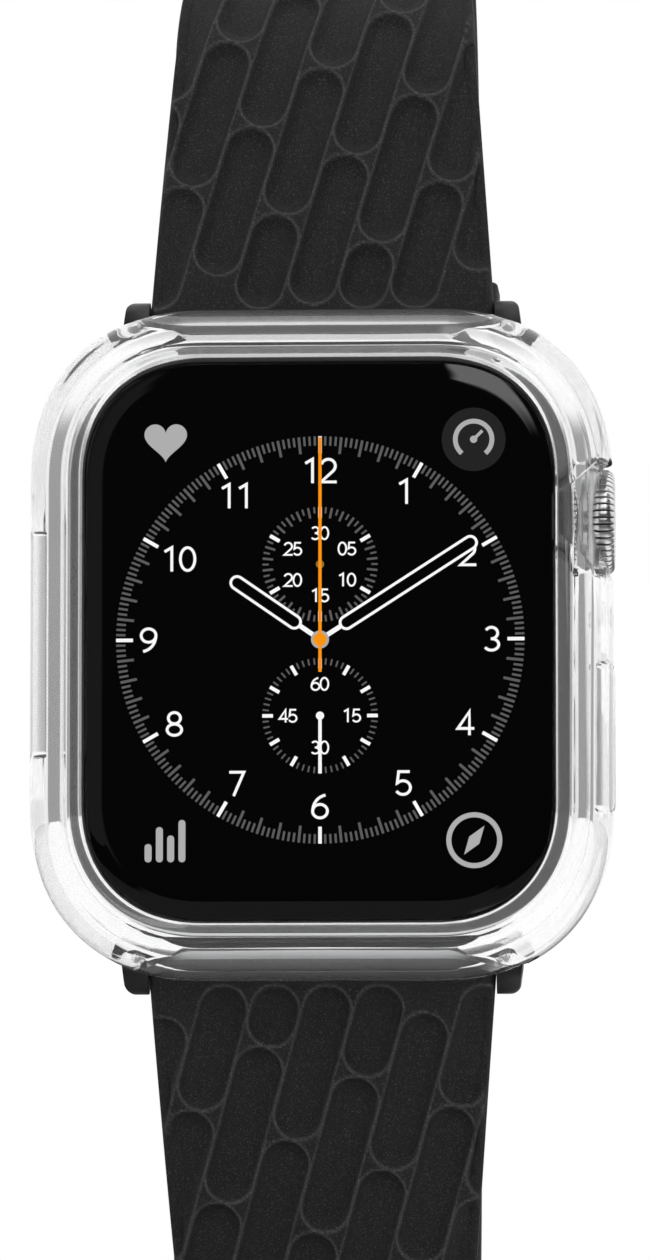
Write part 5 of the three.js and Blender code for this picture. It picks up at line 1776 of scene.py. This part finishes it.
# Studio: a surround, a floor and two soft lamps
def surround():
    """The world: plain for the camera and for soft light, and shaped by direction in what clear and
    polished pieces show: white around, grey to the sides and darker behind the camera."""
    world = bpy.data.worlds.new("studio")
    bpy.context.scene.world = world
    world.use_nodes = True
    nodes = Nodes(world.node_tree)
    shown = world.node_tree.nodes["Background"]
    x, y, z = nodes.split(nodes.add("ShaderNodeTexCoord", output="Generated"))
    forwards = y * -1
    around = AROUND_LEVEL + AROUND_RISE * z.step(-0.1, 0.9)
    camera_side = forwards.step(0.82, 0.93)
    grey_sides = x.maths("ABSOLUTE").step(0.6, 0.72) * y.between(-0.05, 0.1, 0.6, 0.72)
    grey_sides = grey_sides * (1 - z.maths("ABSOLUTE").step(0.3, 0.5))
    sides = (around - OVERHEAD_FALL * z.step(0.75, 0.92)) * (1 - SIDE_FALL * grey_sides)
    sides = sides * (1 - camera_side) + CAMERA_SIDE_LEVEL * camera_side
    frontal = forwards.step(0.2, 0.4)
    window = frontal * x.between(-0.02, 0.0, 0.16, 0.22) * z.step(0.18, 0.28)
    mirrored = around * (1 - frontal) + WINDOW_LEVEL * window
    dim_wall = x.between(-0.6, -0.5, -0.19, -0.14) * z.step(-0.24, -0.2) * camera_side
    path = nodes.add("ShaderNodeLightPath").socket.node.outputs
    seen, diffuse, passed = [
        Wire(nodes, path[name]) for name in ("Is Camera Ray", "Is Diffuse Ray", "Is Transmission Ray")
    ]
    level = passed * sides + (1 - passed) * mirrored + DIM_WALL_LEVEL * dim_wall + LEAST_LEVEL
    soft = diffuse * WORLD_LEVEL + (1 - diffuse) * level
    strength = seen + (1 - seen) * soft
    nodes.tree.links.new(strength.socket, shown.inputs["Strength"])
    shown.inputs["Color"].default_value = grey(1.0)


def floor():
    """A wide pale floor that fades to white away from the object, as clear and polished pieces see it too."""
    low = cad_box[0][2] / MM - FLOOR_DROP
    shape = [(u * FLOOR_REACH, v * FLOOR_REACH, low) for u, v in ((-1, -1), (1, -1), (1, 1), (-1, 1))]
    ground = make("floor", shape, [(0, 1, 2, 3)])
    made, nodes, shader = finish("pale_floor", grey(0.93), 0.7)
    spot = nodes.add("ShaderNodeTexCoord", output="Object")
    distance = nodes.add("ShaderNodeVectorMath", {"operation": "LENGTH"}, {0: spot}, 1)
    x, _, _ = nodes.split(spot)
    seen, mirrored, passed = [
        nodes.add("ShaderNodeLightPath", output=name)
        for name in ("Is Camera Ray", "Is Glossy Ray", "Is Transmission Ray")
    ]
    dark, white, glow = [
        nodes.add("ShaderNodeEmission", None, {"Color": grey(1.0), "Strength": strength})
        for strength in (0.0, 1.0, FLOOR_SEEN_LEVEL)
    ]
    beside = x.step(0.016, 0.022) * (1 - distance.step(0.12, 0.16))
    level = FLOOR_MIRROR_LEVEL * (1 - distance.step(0.36, 0.44)) + FLOOR_BESIDE_LEVEL * beside
    reflected = nodes.blend((level / FLOOR_SEEN_LEVEL).high(passed), dark, glow)
    direct = nodes.blend(distance.step(0.09, 0.4) * seen, Wire(nodes, shader.outputs[0]), white)
    nodes.show(nodes.blend(mirrored.high(passed), direct, reflected))
    ground.data.materials.append(made)


def lamp(name, place, size, power):
    light = bpy.data.lights.new(name, "AREA")
    light.shape = "RECTANGLE"
    light.size, light.size_y = size
    light.energy = power
    holder = bpy.data.objects.new(name, light)
    bpy.context.scene.collection.objects.link(holder)
    holder.location = place
    holder.rotation_euler = (-Vector(place)).to_track_quat("-Z", "Y").to_euler()
    holder.visible_transmission = False
    holder.visible_glossy = False


def lamps():
    for name, (place, size, power) in LAMPS.items():
        lamp(name, place, size, power)


def camera():
    az, el = CAMERA_AZIMUTH, CAMERA_ELEVATION
    towards = Vector((math.sin(az) * math.cos(el), -math.cos(az) * math.cos(el), math.sin(el)))
    turn = (-towards).to_track_quat("-Z", "Y")
    right = turn @ Vector((1, 0, 0))
    up = turn @ Vector((0, 1, 0))
    across = (PHOTO_CENTRE[0] - GLASS_PIXEL[0]) / PIXELS_PER_MM
    along = (GLASS_PIXEL[1] - PHOTO_CENTRE[1]) / PIXELS_PER_MM
    target = Vector((0, -GLASS_FRONT, 0)) + right * across + up * along
    lens = bpy.data.cameras.new("camera")
    lens.sensor_width = SENSOR
    lens.lens = SENSOR * CAMERA_REACH / (PHOTO_SIZE[1] / PIXELS_PER_MM)
    lens.clip_start = NEAREST
    holder = bpy.data.objects.new("camera", lens)
    bpy.context.scene.collection.objects.link(holder)
    holder.location = (target + towards * CAMERA_REACH) * MM
    holder.rotation_euler = turn.to_euler()
    bpy.context.scene.camera = holder
    bpy.context.scene.view_settings.view_transform = "Standard"


camera()
housing()
glass()
back()
crown()
side_button()
clear_case()
adapters()
straps()
buckle()
keepers()
dial()
paint_inner()
surround()
floor()
lamps()
